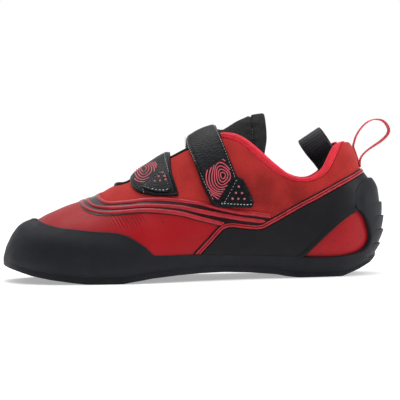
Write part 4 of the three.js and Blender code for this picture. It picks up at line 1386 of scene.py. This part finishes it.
class SHOE_OT_side_panel(ShoeOperator):
    """The black side panel with its raised window edge, the stitched trim, and a dark strip above the trim
    that is partly a black edge and partly painted shadow
    """

    bl_idname = "shoe.side_panel"
    bl_label = "Side panel"

    def execute(self, context):
        last, sizes = the_shoe()
        gap = sizes.fitting_gap
        trim = last.line(TRIM_LINE)
        below = last.area(beside(trim, -sizes.trim_width / 2 - gap), -last.beyond)
        toe_top, heel_top = last.line(RAND_TOP), last.line(HEEL_BAND_TOP)
        rubber_line = beside(np.vstack([toe_top[:-1], heel_top]), 0.3 * gap)
        rubber = last.area(rubber_line, -last.beyond, whole=True)
        window = last.line(WINDOW, (6, 7, 8))
        patch = skin().within((-0.03 * last.length, 0), (1, 0.8 * last.instep))
        patch["below"] = depth_in(patch, below)
        patch["rubber"] = -depth_in(patch, rubber)
        patch["window"] = -depth_in(patch, window)
        patch = patch.cut("below", 0.5 * MM).cut("rubber", 0.1 * MM).cut("window", 0.7 * MM)
        patch.split_at("window", MM * np.array((1.6, 2.4, 3.0)))
        bead = 1.0 * MM * (1 - smooth((patch["window"] - 1.8 * MM) / (1.2 * MM)))
        drop = (rounding(patch["below"], 0.4 * MM) + rounding(patch["rubber"], 0.1 * MM)
                + rounding(patch["window"], 0.7 * MM))
        add_piece("side_panel_skin", [patch.shell(gap + sizes.panel + bead - drop, gap)], "panel",
                  ["side_panel"])
        self.backing(trim, window)
        self.trim(trim)
        return {"FINISHED"}

    def backing(self, trim, window):
        """A thin black layer under the panel and the edges beside it, open at the window."""
        last = the_last()
        patch = skin().within((-0.03 * last.length, 0), (1, 0.8 * last.instep))
        patch["below"] = depth_in(patch, last.area(trim, -last.beyond))
        patch["window"] = -depth_in(patch, window) - 0.3 * MM
        rubber = last.area(last.line(HEEL_BAND_TOP), -last.beyond)
        patch["window"] = np.maximum(patch["window"], depth_in(patch, rubber) - 0.6 * MM)
        patch["sole"] = over_sole(patch)
        patch = patch.cut("below").cut("window").cut("sole")
        add_piece("panel_backing", [patch.shell(0.26 * MM, -0.15 * MM)], "panel")

    def trim(self, line):
        last, sizes = the_shoe()
        gap, half = sizes.fitting_gap, sizes.trim_width / 2
        patch = skin().within((-0.05 * last.length, 0.1 * last.instep), (1, 0.9 * last.instep))
        patch["trim"] = offset_from(patch, line)
        rand_top = last.line(RAND_TOP)
        patch["rand"] = patch["z"] - np.interp(patch["x"], rand_top[:, 0], rand_top[:, 1]) - gap
        patch = patch.cut("rand")
        # The dark strip above the trim is partly a black edge and partly the shadow line there, painted in.
        tape = patch.copy().cut("trim", level=0.5 * half)
        tape["far"] = 2.2 * MM - tape["trim"]
        tape = tape.cut("far", 0.3 * MM)
        add_piece("trim_tape_and_shadow", [tape.shell(0.5 * MM - rounding(tape["far"], 0.3 * MM), -0.2 * MM)],
                  "panel")
        shares = (-1, -0.97, -0.85, -0.6, -0.35, -0.15, 0, 0.12, 0.24, 0.4, 0.6, 0.8, 0.92, 0.98, 1)
        patch.split_at("trim", [share * half for share in shares])
        patch["near"] = half - np.abs(patch["trim"])
        patch = patch.cut("near")
        t = np.abs(patch["trim"]) / half
        dome = np.sqrt(np.clip(1 - t ** 2.2, 0, 1))
        groove = 0.9 * MM * hill(patch["trim"] - TRIM_GROOVE * half, 0.3 * MM)
        add_piece("panel_trim_leather", [patch.shell(gap + sizes.trim * (0.25 + 0.75 * dome) - groove, gap)],
                  "piping", ["panel_trim"])
        parts = []
        for side in (-1, 1):
            run = evenly(line[(line[:, 0] > 2 * MM) & (line[:, 0] < 0.425 * last.length)], 1 * MM)
            path, up = on_side(beside(run, TRIM_GROOVE * half), side, gap + sizes.trim - 0.75 * MM)
            parts.append(stitches(path, up, 1.3 * MM, 1.1 * MM, 0.22 * MM))
        add_piece("trim_stitches", parts, "black_thread")


class SHOE_OT_seams(ShoeOperator):
    """The three raised seams round the vamp on their dark bed, partly black patent leather and partly painted
    shade of the grooves
    """

    bl_idname = "shoe.seams"
    bl_label = "Vamp seams"

    def execute(self, context):
        last, sizes = the_shoe()
        gap = sizes.fitting_gap
        top, low = last.line(PIPING_TOP), last.line(PIPING_LOW)
        trim = last.line(TRIM_LINE)
        ground = skin().within(
            (-0.32 * last.length, 0.3 * last.instep), (0.19 * last.length, 0.75 * last.instep))
        over_trim = last.area(trim, last.above, whole=True)
        ground["trim"] = depth_in(ground, over_trim) - sizes.trim_width / 2 - gap
        ground = ground.cut("trim")
        # A dark bed under the seams: partly black patent leather, partly painted shade that darkens the
        # grooves between them.
        bed = ground.copy()
        lower = beside(low, -1.9 * MM)
        outline = np.vstack([top, (top[-1, 0], top[-1, 1] - 0.02), (lower[-1, 0] + 0.02, lower[-1, 1] - 0.01),
                             lower[::-1], (lower[0, 0], last.above), (top[0, 0], last.above)])
        bed["bed"] = depth_in(bed, outline)
        bed = bed.cut("bed", 0.35 * MM)
        add_piece("seam_bed_and_groove_shade", [bed.shell(0.3 * MM - rounding(bed["bed"], 0.25 * MM), -0.25 * MM)],
                  "seam_bed_and_groove_shade")
        for name, rows in (("top", PIPING_TOP), ("middle", PIPING_MIDDLE), ("low", PIPING_LOW)):
            line = last.line(rows)
            patch = ground.copy()
            along, width = np.array(PIPING_WIDTHS[name]).T
            share = patch["x"] / last.length
            crest = hill(patch["y"] - last.read["ridge"](share) * last.ball, CREST_WIDTH)
            half = np.interp(share, along, width) / 2 * (1 + 1.15 * crest)
            patch["line"] = offset_from(patch, line) / half
            patch["crest"] = crest
            patch.split_at("line", MM * np.array((-1, -0.92, -0.7, -0.35, 0, 0.35, 0.7, 0.92, 1)))
            patch["near"] = MM - np.abs(patch["line"])
            patch = patch.cut("near")
            t = np.abs(patch["line"]) / MM
            crest = patch["crest"]
            height = sizes.piping * (0.15 + 0.85 * np.sqrt(np.clip(1 - t ** 2.4, 0, 1))) * (1 - 0.7 * crest)
            seam = patch.shell(gap * (1 - 0.5 * crest) + height, CLEAR)
            add_piece("vamp_seam_" + name, [seam], "piping", ["vamp_piping_" + name])
        return {"FINISHED"}


class SHOE_OT_tongue(ShoeOperator):
    """The padded tongue: a soft shell under the throat, pillowed at its rim, with a sewn channel"""

    bl_idname = "shoe.tongue"
    bl_label = "Tongue"

    def execute(self, context):
        last, sizes = the_shoe()
        outline = last.line(TONGUE_SIDE, (5, 8, 9))
        patch = skin().within(
            (-0.22 * last.length, 0.5 * last.instep), (0.2 * last.length, 1.2 * last.instep))
        patch["tongue"] = depth_in(patch, outline)
        radius = sizes.tongue / 2
        patch = patch.cut("tongue", radius)
        patch["seam"] = patch["x"] - TONGUE_SEAM * last.length
        patch.split_at("seam", MM * np.array((-1.6, -0.8, 0, 0.8, 1.6)))
        channel = 1.2 * MM * hill(patch["seam"], 0.8 * MM)
        soft = 0.25 * MM * np.sin(patch["x"] / (5 * MM)) * np.sin(patch["z"] / (6 * MM) + 1)
        soft = soft + 0.3 * MM * hill(patch["seam"], 5 * MM) * np.sin(patch["z"] / (0.9 * MM))
        share = patch["x"] / last.length
        inside = inside_throat(patch)
        under_strap = smooth((share + 0.022) / 0.02) * (1 - smooth((share - 0.058) / 0.02))
        swell = 3 * MM * smooth((inside - 0.5 * MM) / (4 * MM)) * under_strap
        middle = swell - (sizes.wall + TONGUE_DEPTH + radius)
        half = radius - rounding(patch["tongue"], radius)
        top = middle + half - channel * (half > 0) + soft
        add_piece("tongue_pad", [patch.shell(top, middle - half + soft)], "tongue", ["tongue"])
        seam = np.stack([np.full(30, TONGUE_SEAM), np.linspace(0.7, 0.985, 30)], axis=1)
        seam = seam * (last.length, last.instep)
        path, up = on_side(seam, -1, -(sizes.wall + TONGUE_DEPTH) - 0.5 * MM)
        add_piece("tongue_stitches", [stitches(path, up, sizes.stitch, 0.5 * MM, 0.6 * sizes.thread)],
                  "dark_thread")
        return {"FINISHED"}


class SHOE_OT_collar(ShoeOperator):
    """The rolled knit binding round the collar: a round bead between its foot line and the collar's top"""

    bl_idname = "shoe.collar"
    bl_label = "Collar binding"

    def execute(self, context):
        last = the_last()
        foot, top = last.line(BINDING_FOOT), last.line(COLLAR_TOP)
        low = (foot[0, 0], 0.55 * last.heel)
        patch = skin().within(low, (1, 1.1 * last.instep))
        view = collar_view(patch)
        patch["rise"], patch["drop"] = offset_from(patch, foot, view), -offset_from(patch, top, view)
        patch["start"] = patch["x"] - foot[0, 0]
        patch["end"] = 0.394 * last.length - patch["x"]
        patch = patch.cut("rise", level=-0.6 * MM).cut("drop").cut("start").cut("end")
        patch["bead"] = np.clip(patch["rise"] / np.maximum(patch["rise"] + patch["drop"], 0.1 * MM), 0, 1)
        patch.split_at("bead", (0.03, 0.1, 0.18, 0.24, 0.3, 0.36, 0.42, 0.5, 0.62, 0.78, 0.9, 0.97))
        half = np.sqrt(np.clip(1 - (2 * patch["bead"] - 1) ** 2, 0.015, 1))
        half = half * (1 - 0.55 * smooth((patch["x"] - 0.358 * last.length) / (6 * MM)))
        ripple = 0.12 * MM * np.sin(patch["x"] / (1.7 * MM) + patch["z"] / (2.3 * MM))
        sewn = 0.45 * MM * hill(patch["bead"] - 0.3, 0.07)
        outer = -1 * MM + half * 1.95 * MM + ripple * half - sewn
        inner = -1 * MM - half * 1.9 * MM
        add_piece("collar_knit", [patch.shell(outer, inner)], "knit", ["collar_binding"])
        return {"FINISHED"}


class SHOE_OT_straps(ShoeOperator):
    """The hook-and-loop straps: pebbled leather, sewn edges, an end patch, six studs and a ripple print"""

    bl_idname = "shoe.straps"
    bl_label = "Straps"

    def execute(self, context):
        sizes = context.scene.shoe_sizes
        gap = sizes.fitting_gap
        front = dict(
            name="strap_front", lift=gap, outer=STRAP_FRONT_OUTER, outer_corners=(1, 7, 10),
            inner=STRAP_FRONT_INNER, inner_corners=(1, 3, 4, 6), patch=PATCH_FRONT, patch_corners=(7,),
            dots=DOTS_FRONT, ripple=(-0.128, 0.705), field=(
                (-0.154, 0.664), (-0.146, 0.7), (-0.1, 0.748), (-0.094, 0.712), (-0.112, 0.66),
                (-0.138, 0.606), (-0.151, 0.62)))
        rear = dict(
            name="strap_rear", lift=2 * gap + sizes.piping, outer=STRAP_REAR_OUTER,
            outer_corners=(1, 7, 8, 10, 13), inner=STRAP_REAR_INNER, inner_corners=(1, 4, 5, 8),
            patch=PATCH_REAR, patch_corners=(7,), dots=DOTS_REAR, ripple=(0.066, 0.655), field=(
                (0.014, 0.668), (0.04, 0.71), (0.069, 0.755), (0.082, 0.71), (0.089, 0.648), (0.066, 0.56),
                (0.047, 0.502), (0.034, 0.53)))
        for strap in (front, rear):
            self.band(strap)
            self.end_patch(strap)
            self.sewing(strap)
            self.ripples(strap)
        return {"FINISHED"}

    def band(self, strap):
        """The strap itself: an outline for each side of the shoe, with a bead along its edges."""
        last, sizes = the_shoe()
        outer = last.line(strap["outer"], strap["outer_corners"])
        inner = last.line(strap["inner"], strap["inner_corners"])
        low = np.minimum(outer.min(axis=0), inner.min(axis=0)) - 3 * MM
        high = np.maximum(outer.max(axis=0), inner.max(axis=0)) + 3 * MM
        patch = skin().within(low, high)
        outside = patch["y"] < 0
        patch["edge"] = np.where(outside, depth_in(patch, outer), depth_in(patch, inner))
        radius = 0.8 * MM
        patch = patch.cut("edge", radius)
        patch.split_at("edge", MM * np.array((1.2, 1.5, 1.8, 2.2, 3.2)))
        edge = patch["edge"]
        bead = 0.3 * MM * hill(edge - 0.9 * MM, 0.45 * MM) - 0.28 * MM * hill(edge - 1.75 * MM, 0.3 * MM)
        crown = 0.5 * MM * smooth((edge - 2 * MM) / (7 * MM))
        ridge = last.read["ridge"](patch["x"] / last.length) * last.ball
        over_instep = hill(patch["y"] - ridge, 13 * MM)
        roll = rounding(edge, radius) * (1 - over_instep) + rounding(edge, 3.2 * MM) * over_instep
        roll = np.minimum(roll, sizes.strap - 0.3 * MM)
        top = strap["lift"] + sizes.strap + bead * (1 - over_instep) + crown - roll
        over_throat = smooth(inside_throat(patch) / (3 * MM))
        bottom = strap["lift"] * (1 - 0.9 * over_throat) + rounding(edge, 0.3 * MM) * 0.5
        add_piece(strap["name"] + "_leather", [patch.shell(top, bottom)], "strap",
                  [strap["name"]])

    def top_of(self, strap, extra=0.0):
        sizes = bpy.context.scene.shoe_sizes
        return strap["lift"] + sizes.strap + 0.5 * MM + extra

    def end_patch(self, strap):
        """The sewn-on end piece and its six studs."""
        last = the_last()
        outline = last.line((*strap["patch"], strap["patch"][0]), strap["patch_corners"])[:-1]
        patch = skin().within(outline.min(axis=0) - 2 * MM, outline.max(axis=0) + 2 * MM)
        patch["near"] = -patch["y"]
        patch = patch.choose((patch["near"][patch.faces] > 0).all(axis=1))
        patch["edge"] = depth_in(patch, outline)
        patch = patch.cut("edge", 0.5 * MM)
        patch.split_at("edge", MM * np.array((1.1, 1.4, 1.7)))
        drop = rounding(patch["edge"], 0.45 * MM) + 0.18 * MM * hill(patch["edge"] - 1.4 * MM, 0.3 * MM)
        top = self.top_of(strap, 0.45 * MM)
        add_piece(strap["name"] + "_end", [patch.shell(top - drop, self.top_of(strap, -1.2 * MM))],
                  "strap")
        centres, up = on_side(last.side(strap["dots"]), -1, top)
        add_piece(strap["name"] + "_studs", [studs(centres, up, 0.75 * MM, 0.4 * MM)], "stud")

    def sewing(self, strap):
        """Grey stitches inside the long edges, over the instep, and round the end piece."""
        last, sizes = the_shoe()
        tilts = np.linspace(math.radians(4), math.radians(150), 90)
        made = []
        end = last.line((*strap["patch"], strap["patch"][0]), strap["patch_corners"])
        inner = evenly(beside(end, -1.2 * MM), 0.8 * MM)
        at_foot = inner[:, 1] < end[:, 1].min() + 2.2 * MM
        for chosen, thread, lift in ((at_foot, 0.27, 0.1), (~at_foot, 0.15, 0.0)):
            for run in runs_of(chosen):
                if run.stop - run.start < 4:
                    continue
                path, up = on_side(inner[run], -1, self.top_of(strap, 0.28 * MM))
                made.append(stitches(path, up, 1.3 * MM, 0.7 * MM, thread * MM, lift * MM))
        for edge in STRAP_EDGES[strap["name"]]:
            line = last.side(edge)
            path, up = across(line, tilts, strap["lift"] + sizes.strap + 0.05 * MM)
            high = path[:, 2] > line[:, 1].min()
            path, up = path[high], up[high]
            apart = 0.8 * MM
            up = evenly(path, apart, up)
            made.append(stitches(evenly(path, apart), up, 1.2 * MM, 0.8 * MM, 0.17 * MM))
        add_piece(strap["name"] + "_stitches", made, "grey_thread")

    def ripples(self, strap):
        """The print: parallel arcs spreading from one point, cut off at the edge of their field."""
        last = the_last()
        centre = last.side([strap["ripple"]])[0]
        field = last.line((*strap["field"], strap["field"][0]))[:-1]
        turn = np.linspace(0, 2 * np.pi, 181)
        parts = []
        for radius in np.arange(1.6, 17, 1.45) * MM:
            wave = radius * (1 + 0.09 * np.sin(3 * turn + radius / MM * 0.35))
            ring = centre + np.stack([wave * np.cos(turn), 1.25 * wave * np.sin(turn)], axis=1)
            inside = inside_of(ring, field)
            for run in runs_of(inside):
                arc = ring[run]
                if len(arc) < 7:
                    continue
                path, up = on_side(evenly(arc, 0.5 * MM), -1, self.top_of(strap, -0.06 * MM))
                points, faces, _ = carry(path, up, round_profile(0.8 * MM, 0.26 * MM, 0.5 * MM, 5))
                parts.append((points, faces))
        add_piece(strap["name"] + "_print", parts, "print_ink")


def runs_of(flags):
    """The stretches of a row of flags that are true."""
    edges = np.flatnonzero(np.diff(np.concatenate([[0], flags.astype(int), [0]])))
    return [slice(a, b) for a, b in zip(edges[::2], edges[1::2])]


class SHOE_OT_loops(ShoeOperator):
    """The webbing pull loop behind the heel and the folded loop at the inner side of the collar"""

    bl_idname = "shoe.loops"
    bl_label = "Pull loops"

    def execute(self, context):
        last, sizes = the_shoe()
        run = last.line(LOOP_RUN, steps=8)
        run = evenly(run, 0.9 * MM)
        inward = beside(run, -0.6 * MM)
        path = np.stack([inward[:, 0], np.zeros(len(inward)), inward[:, 1]], axis=1)
        up = np.stack([-np.gradient(run[:, 1]), np.zeros(len(run)), np.gradient(run[:, 0])], axis=1)
        t = np.linspace(0, 1, len(path))
        twist = math.radians(9) * smooth((t - 0.42) / 0.18) * (1 - smooth((t - 0.72) / 0.2))
        points, faces, maps = carry(path, up, strip_profile(sizes.loop_width, sizes.loop), twist=twist)
        add_piece("heel_loop_webbing", [(points, faces)], "loop", ["heel_loop"], [maps])
        self.inner_loop()
        return {"FINISHED"}

    def inner_loop(self):
        """A strip folded over at its top: its path is two legs and a half circle, then leaned into place."""
        last = the_last()
        wide, thick, high, gap = 17 * MM, 1.3 * MM, 26 * MM, 8 * MM
        half = gap / 2 + thick / 2
        arc = np.linspace(0, np.pi, 17)
        top = high - gap / 2 - thick
        right = np.array([
            (0.5 * thick, 0.0), (0.52 * thick, 0.25 * high), (0.55 * half, 0.42 * high), (half, 0.62 * high)])
        bend = np.stack([half * np.cos(arc), top + half * np.sin(arc)], axis=1)
        left = (right * (-1, 1))[::-1]
        flat = evenly(smooth_line(np.vstack([right, bend, left]), steps=4), 0.8 * MM)
        run = np.gradient(flat, axis=0)
        path = np.stack([np.zeros(len(flat)), flat[:, 0], flat[:, 1]], axis=1)
        up = np.stack([np.zeros(len(flat)), run[:, 1], -run[:, 0]], axis=1)
        points, faces, maps = carry(path, up, strip_profile(wide, thick))
        turn = (Matrix.Rotation(math.radians(-21), 3, "Z") @ Matrix.Rotation(math.radians(-32), 3, "Y")
                @ Matrix.Rotation(math.radians(16), 3, "X"))
        foot = np.array([0.3755 * last.length, 0.16 * last.ball, 0.717 * last.heel / HEEL_SHARE])
        points = points @ np.array(turn).T + foot
        add_piece("inner_loop_webbing", [(points, faces)], "webbing", ["inner_loop"], [maps])


class SHOE_OT_sole(ShoeOperator):
    """The outsole, flush with the rands, and the board inside the shoe"""

    bl_idname = "shoe.sole"
    bl_label = "Sole"

    def outline(self, let_out):
        """The form's own outline just above the sole, moved square to itself, with the spine under it."""
        last, sizes = the_shoe()
        share, _, way = stations(110, 60, 64)
        start = last.spine_point(share)[:, :2]
        near, far = np.zeros(len(share)), np.full(len(share), last.length / 2)
        for _ in range(HALVINGS):
            middle = (near + far) / 2
            p = start + way * middle[:, None]
            z = last.tread(p[:, 0] / last.length) + sizes.sole_thickness + sizes.fitting_gap
            inside = last.value(p[:, 0], p[:, 1], z, sizes.sole_thickness) < 0
            near, far = np.where(inside, middle, near), np.where(inside, far, middle)
        edge = start + way * near[:, None]
        run = unit(np.roll(edge, -1, axis=0) - np.roll(edge, 1, axis=0))
        out = np.stack([run[:, 1], -run[:, 0]], axis=1)
        return start, edge + let_out * out, out

    def slab(self, let_out, low, high, radius):
        """A plate between two heights over the tread: rings from its spine, round its rim, and back."""
        last = the_last()
        start, edge, out = self.outline(let_out)
        turn = np.linspace(0, np.pi / 2, 5)
        rows = [(s, 0.0, low) for s in (0.0, 0.25, 0.5, 0.75, 0.92)]
        rows += [(1.0, -radius + radius * math.sin(a), low + radius * (1 - math.cos(a))) for a in turn]
        small = min(radius, 0.35 * MM)
        rows += [(1.0, -small + small * math.cos(a), high - small + small * math.sin(a)) for a in turn]
        rows += [(s, 0.0, high) for s in (0.92, 0.75, 0.5, 0.25, 0.0)]
        rings = []
        for share, inset, height in rows:
            plan = start + (edge + out * inset - start) * share
            z = last.tread(plan[:, 0] / last.length) + height
            rings.append(np.column_stack([plan, z]))
        points = np.stack(rings, axis=1)
        count, wide = points.shape[:2]
        return welded(points.reshape(-1, 3), round_trip(np.arange(count * wide).reshape(count, wide)))

    def execute(self, context):
        sizes = context.scene.shoe_sizes
        gap = sizes.fitting_gap
        sole = self.slab(gap + sizes.rand, 0.0, sizes.sole_thickness, 0.45 * MM)
        add_piece("outsole_rubber", [sole], "rubber", ["outsole"])
        low = sizes.sole_thickness + gap
        board = self.slab(-sizes.wall - 2 * gap, low, low + 2 * MM, 0.4 * MM)
        add_piece("insole_board", [board], "lining", ["insole"])
        return {"FINISHED"}


def welded(points, faces):
    """Joins points that share a place and drops the triangles that this empties."""
    places = np.round(points / (0.001 * MM))
    _, first, which = np.unique(places, axis=0, return_index=True, return_inverse=True)
    points, faces = points[first], whole(which.reshape(-1)[faces])
    return points, outward(points, faces)


class SHOE_OT_throat_edge(ShoeOperator):
    """The black rolled edge round the front end of the throat, a bead laid over the cut of the upper"""

    bl_idname = "shoe.throat_edge"
    bl_label = "Throat edge"

    def execute(self, context):
        last = the_last()
        outer, inner = throat_sides(np.array([row for row in THROAT if row[0] < 0.05]))
        plan = evenly(smooth_line(np.vstack([outer[::-1], inner]), steps=8), 0.8 * MM)
        start = np.column_stack([plan, np.full(len(plan), 0.4 * last.instep)])
        points = last.leave(start, np.tile((0.0, 0.0, 1.0), (len(plan), 1)), sole_thickness())
        path, out = lifted(points, 0.1 * MM)
        turn = np.linspace(0, 2 * math.pi, 12, endpoint=False)
        bead = [(0.9 * MM * math.cos(a), 0.85 * MM * math.sin(a)) for a in turn]
        front = hill(path[:, 0] - path[:, 0].min(), 5 * MM)
        path[:, 0] += 1.7 * MM * front
        points, faces, maps = carry(path, out, bead, swell=1 + 1.5 * front)
        add_piece("throat_edge", [(points, faces)], "strap", (), [maps])
        return {"FINISHED"}


class SHOE_OT_pinholes(ShoeOperator):
    """The punched air holes of the vamp and of the red window, drawn as small dark discs"""

    bl_idname = "shoe.pinholes"
    bl_label = "Pinholes"

    def execute(self, context):
        last = the_last()
        parts = []
        for side in (-1, 1):
            centres, up = on_side(last.side(PINHOLES), side, 0.02 * MM)
            parts.append(studs(centres, up, 0.5 * MM, 0.08 * MM))
        add_piece("pinholes", parts, "lining")
        return {"FINISHED"}


class SHOE_OT_stage(ShoeOperator):
    """The photograph's camera, a white floor and soft studio light"""

    bl_idname = "shoe.stage"
    bl_label = "Camera, floor and light"

    def execute(self, context):
        self.camera(context)
        self.floor()
        self.lights(context)
        return {"FINISHED"}

    def camera(self, context):
        """A long lens a metre away, a little to the toe side, turned so that the heel side rises."""
        offset = Vector(place_of_last())
        yaw, roll, reach = math.radians(5.0), math.radians(1.05), 1.0
        aim = Vector((0.00427, 0, 0.0506)) + offset
        eye = Vector((aim.x - reach * math.sin(yaw), aim.y - reach * math.cos(yaw), 0.078))
        ahead = (aim - eye).normalized()
        right = ahead.cross(Vector((0, 0, 1))).normalized()
        up = right.cross(ahead)
        c, s = math.cos(roll), math.sin(roll)
        right, up = right * c - up * s, right * s + up * c
        data = bpy.data.cameras.new("photo_camera")
        data.sensor_width = 36
        data.lens = 36 * (aim - eye).length / (400 * 0.657 * MM)
        data.clip_start, data.clip_end = 0.05, 20
        camera = bpy.data.objects.new("photo_camera", data)
        turn = Matrix((right, up, -ahead)).transposed().to_4x4()
        camera.matrix_world = Matrix.Translation(eye) @ turn
        context.scene.collection.objects.link(camera)
        context.scene.camera = camera

    def floor(self):
        """A wide disc of rings whose far edge curls up, white and matt."""
        rings, steps = 24, 64
        reach = np.linspace(0, 1, rings)[:, None] ** 1.5 * 6
        turn = 2 * np.pi * np.arange(steps)[None] / steps
        z = 0.4 * smooth((reach - 3) / 3) + 0 * turn
        points = np.stack([reach * np.cos(turn), reach * np.sin(turn), z], axis=-1).reshape(-1, 3)
        number = np.arange(rings * steps).reshape(rings, steps)
        a, d = number[:-1], number[1:]
        b, c = np.roll(a, -1, axis=1), np.roll(d, -1, axis=1)
        mesh = bpy.data.meshes.new("studio_floor")
        mesh.from_pydata(points, [], np.stack([a, d, c, b], axis=-1).reshape(-1, 4))
        mesh.shade_smooth()
        paper = Finish("studio_paper", (0.8, 0.8, 0.8), 0.9, Emission_Color=(1, 1, 1, 1),
                       Emission_Strength=0.36, Specular_IOR_Level=0.0)
        paper.bump(paper.noise(40, 2), 0.00002)
        paper.material.cycles.emission_sampling = "NONE"
        mesh.materials.append(paper.material)
        floor = bpy.data.objects.new("studio_floor", mesh)
        bpy.context.scene.collection.objects.link(floor)

    def lights(self, context):
        context.scene.world = self.surroundings()
        context.scene.view_settings.view_transform = "Standard"
        for name, place, size, power in (
            ("top_light", (-0.1, 0.12, 1.1), 0.9, 7.0),
            ("heel_light", (1.0, -0.28, 0.4), 0.4, 4.2),
        ):
            data = bpy.data.lights.new(name, "AREA")
            data.shape, data.size, data.energy = "SQUARE", size, power
            lamp = bpy.data.objects.new(name, data)
            lamp.location = place
            lamp.rotation_euler = (Vector((0, 0, 0.04)) - Vector(place)).to_track_quat("-Z", "Y").to_euler()
            context.scene.collection.objects.link(lamp)

    def surroundings(self):
        """A white room: bright overhead and behind the shoe, dim on the side that it is looked at from."""
        world = bpy.data.worlds.new("studio")
        world.use_nodes = True
        nodes, links = world.node_tree.nodes, world.node_tree.links
        background = nodes["Background"]
        background.inputs["Color"].default_value = (1, 1, 1, 1)
        place = nodes.new("ShaderNodeTexCoord")
        axes = nodes.new("ShaderNodeSeparateXYZ")
        links.new(place.outputs["Generated"], axes.inputs["Vector"])

        def spread(axis, start, end, low, high):
            node = nodes.new("ShaderNodeMapRange")
            for socket, value in (("From Min", start), ("From Max", end), ("To Min", low), ("To Max", high)):
                node.inputs[socket].default_value = value
            links.new(axes.outputs[axis], node.inputs["Value"])
            return node.outputs["Result"]

        def join(first, second, operation):
            node = nodes.new("ShaderNodeMath")
            node.operation = operation
            links.new(first, node.inputs[0])
            links.new(second, node.inputs[1])
            return node.outputs["Value"]

        behind = join(spread("Y", -0.3, 0.3, 0.12, 1.0), spread("Z", 0.14, 0.34, 1.0, 0.55), "MULTIPLY")
        overhead = spread("Z", 0.35, 0.75, 0.0, 1.15)
        links.new(join(behind, overhead, "MAXIMUM"), background.inputs["Strength"])
        return world


class SHOE_PT_sidebar(bpy.types.Panel):
    """Lists the steps of the shoe and its sizes and colours"""

    bl_idname = "SHOE_PT_sidebar"
    bl_label = "Climbing Shoe"
    bl_space_type = "VIEW_3D"
    bl_region_type = "UI"
    bl_category = "Shoe"

    def draw(self, context):
        for operator in STEPS:
            self.layout.operator(operator.bl_idname)
        for group in (context.scene.shoe_sizes, context.scene.shoe_colours):
            for name in group.bl_rna.properties.keys():
                if name not in {"rna_type", "name"}:
                    self.layout.prop(group, name)


STEPS = (
    SHOE_OT_stage, SHOE_OT_sole, SHOE_OT_upper, SHOE_OT_rands, SHOE_OT_side_panel, SHOE_OT_seams,
    SHOE_OT_tongue, SHOE_OT_collar, SHOE_OT_throat_edge, SHOE_OT_straps, SHOE_OT_loops, SHOE_OT_pinholes,
)
CLASSES = (ShoeSizes, ShoeColours, *STEPS, SHOE_PT_sidebar)


def register():
    for item in CLASSES:
        bpy.utils.register_class(item)
    bpy.types.Scene.shoe_sizes = PointerProperty(type=ShoeSizes)
    bpy.types.Scene.shoe_colours = PointerProperty(type=ShoeColours)


def unregister():
    del bpy.types.Scene.shoe_sizes
    del bpy.types.Scene.shoe_colours
    for item in reversed(CLASSES):
        bpy.utils.unregister_class(item)


def corners(bounds):
    return [[round(float(v), 6) for v in corner] for corner in bounds]


def main():
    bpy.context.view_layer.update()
    register()
    for step in STEPS:
        group, name = step.bl_idname.split(".")
        getattr(getattr(bpy.ops, group), name)()


if __name__ == "__main__":
    main()
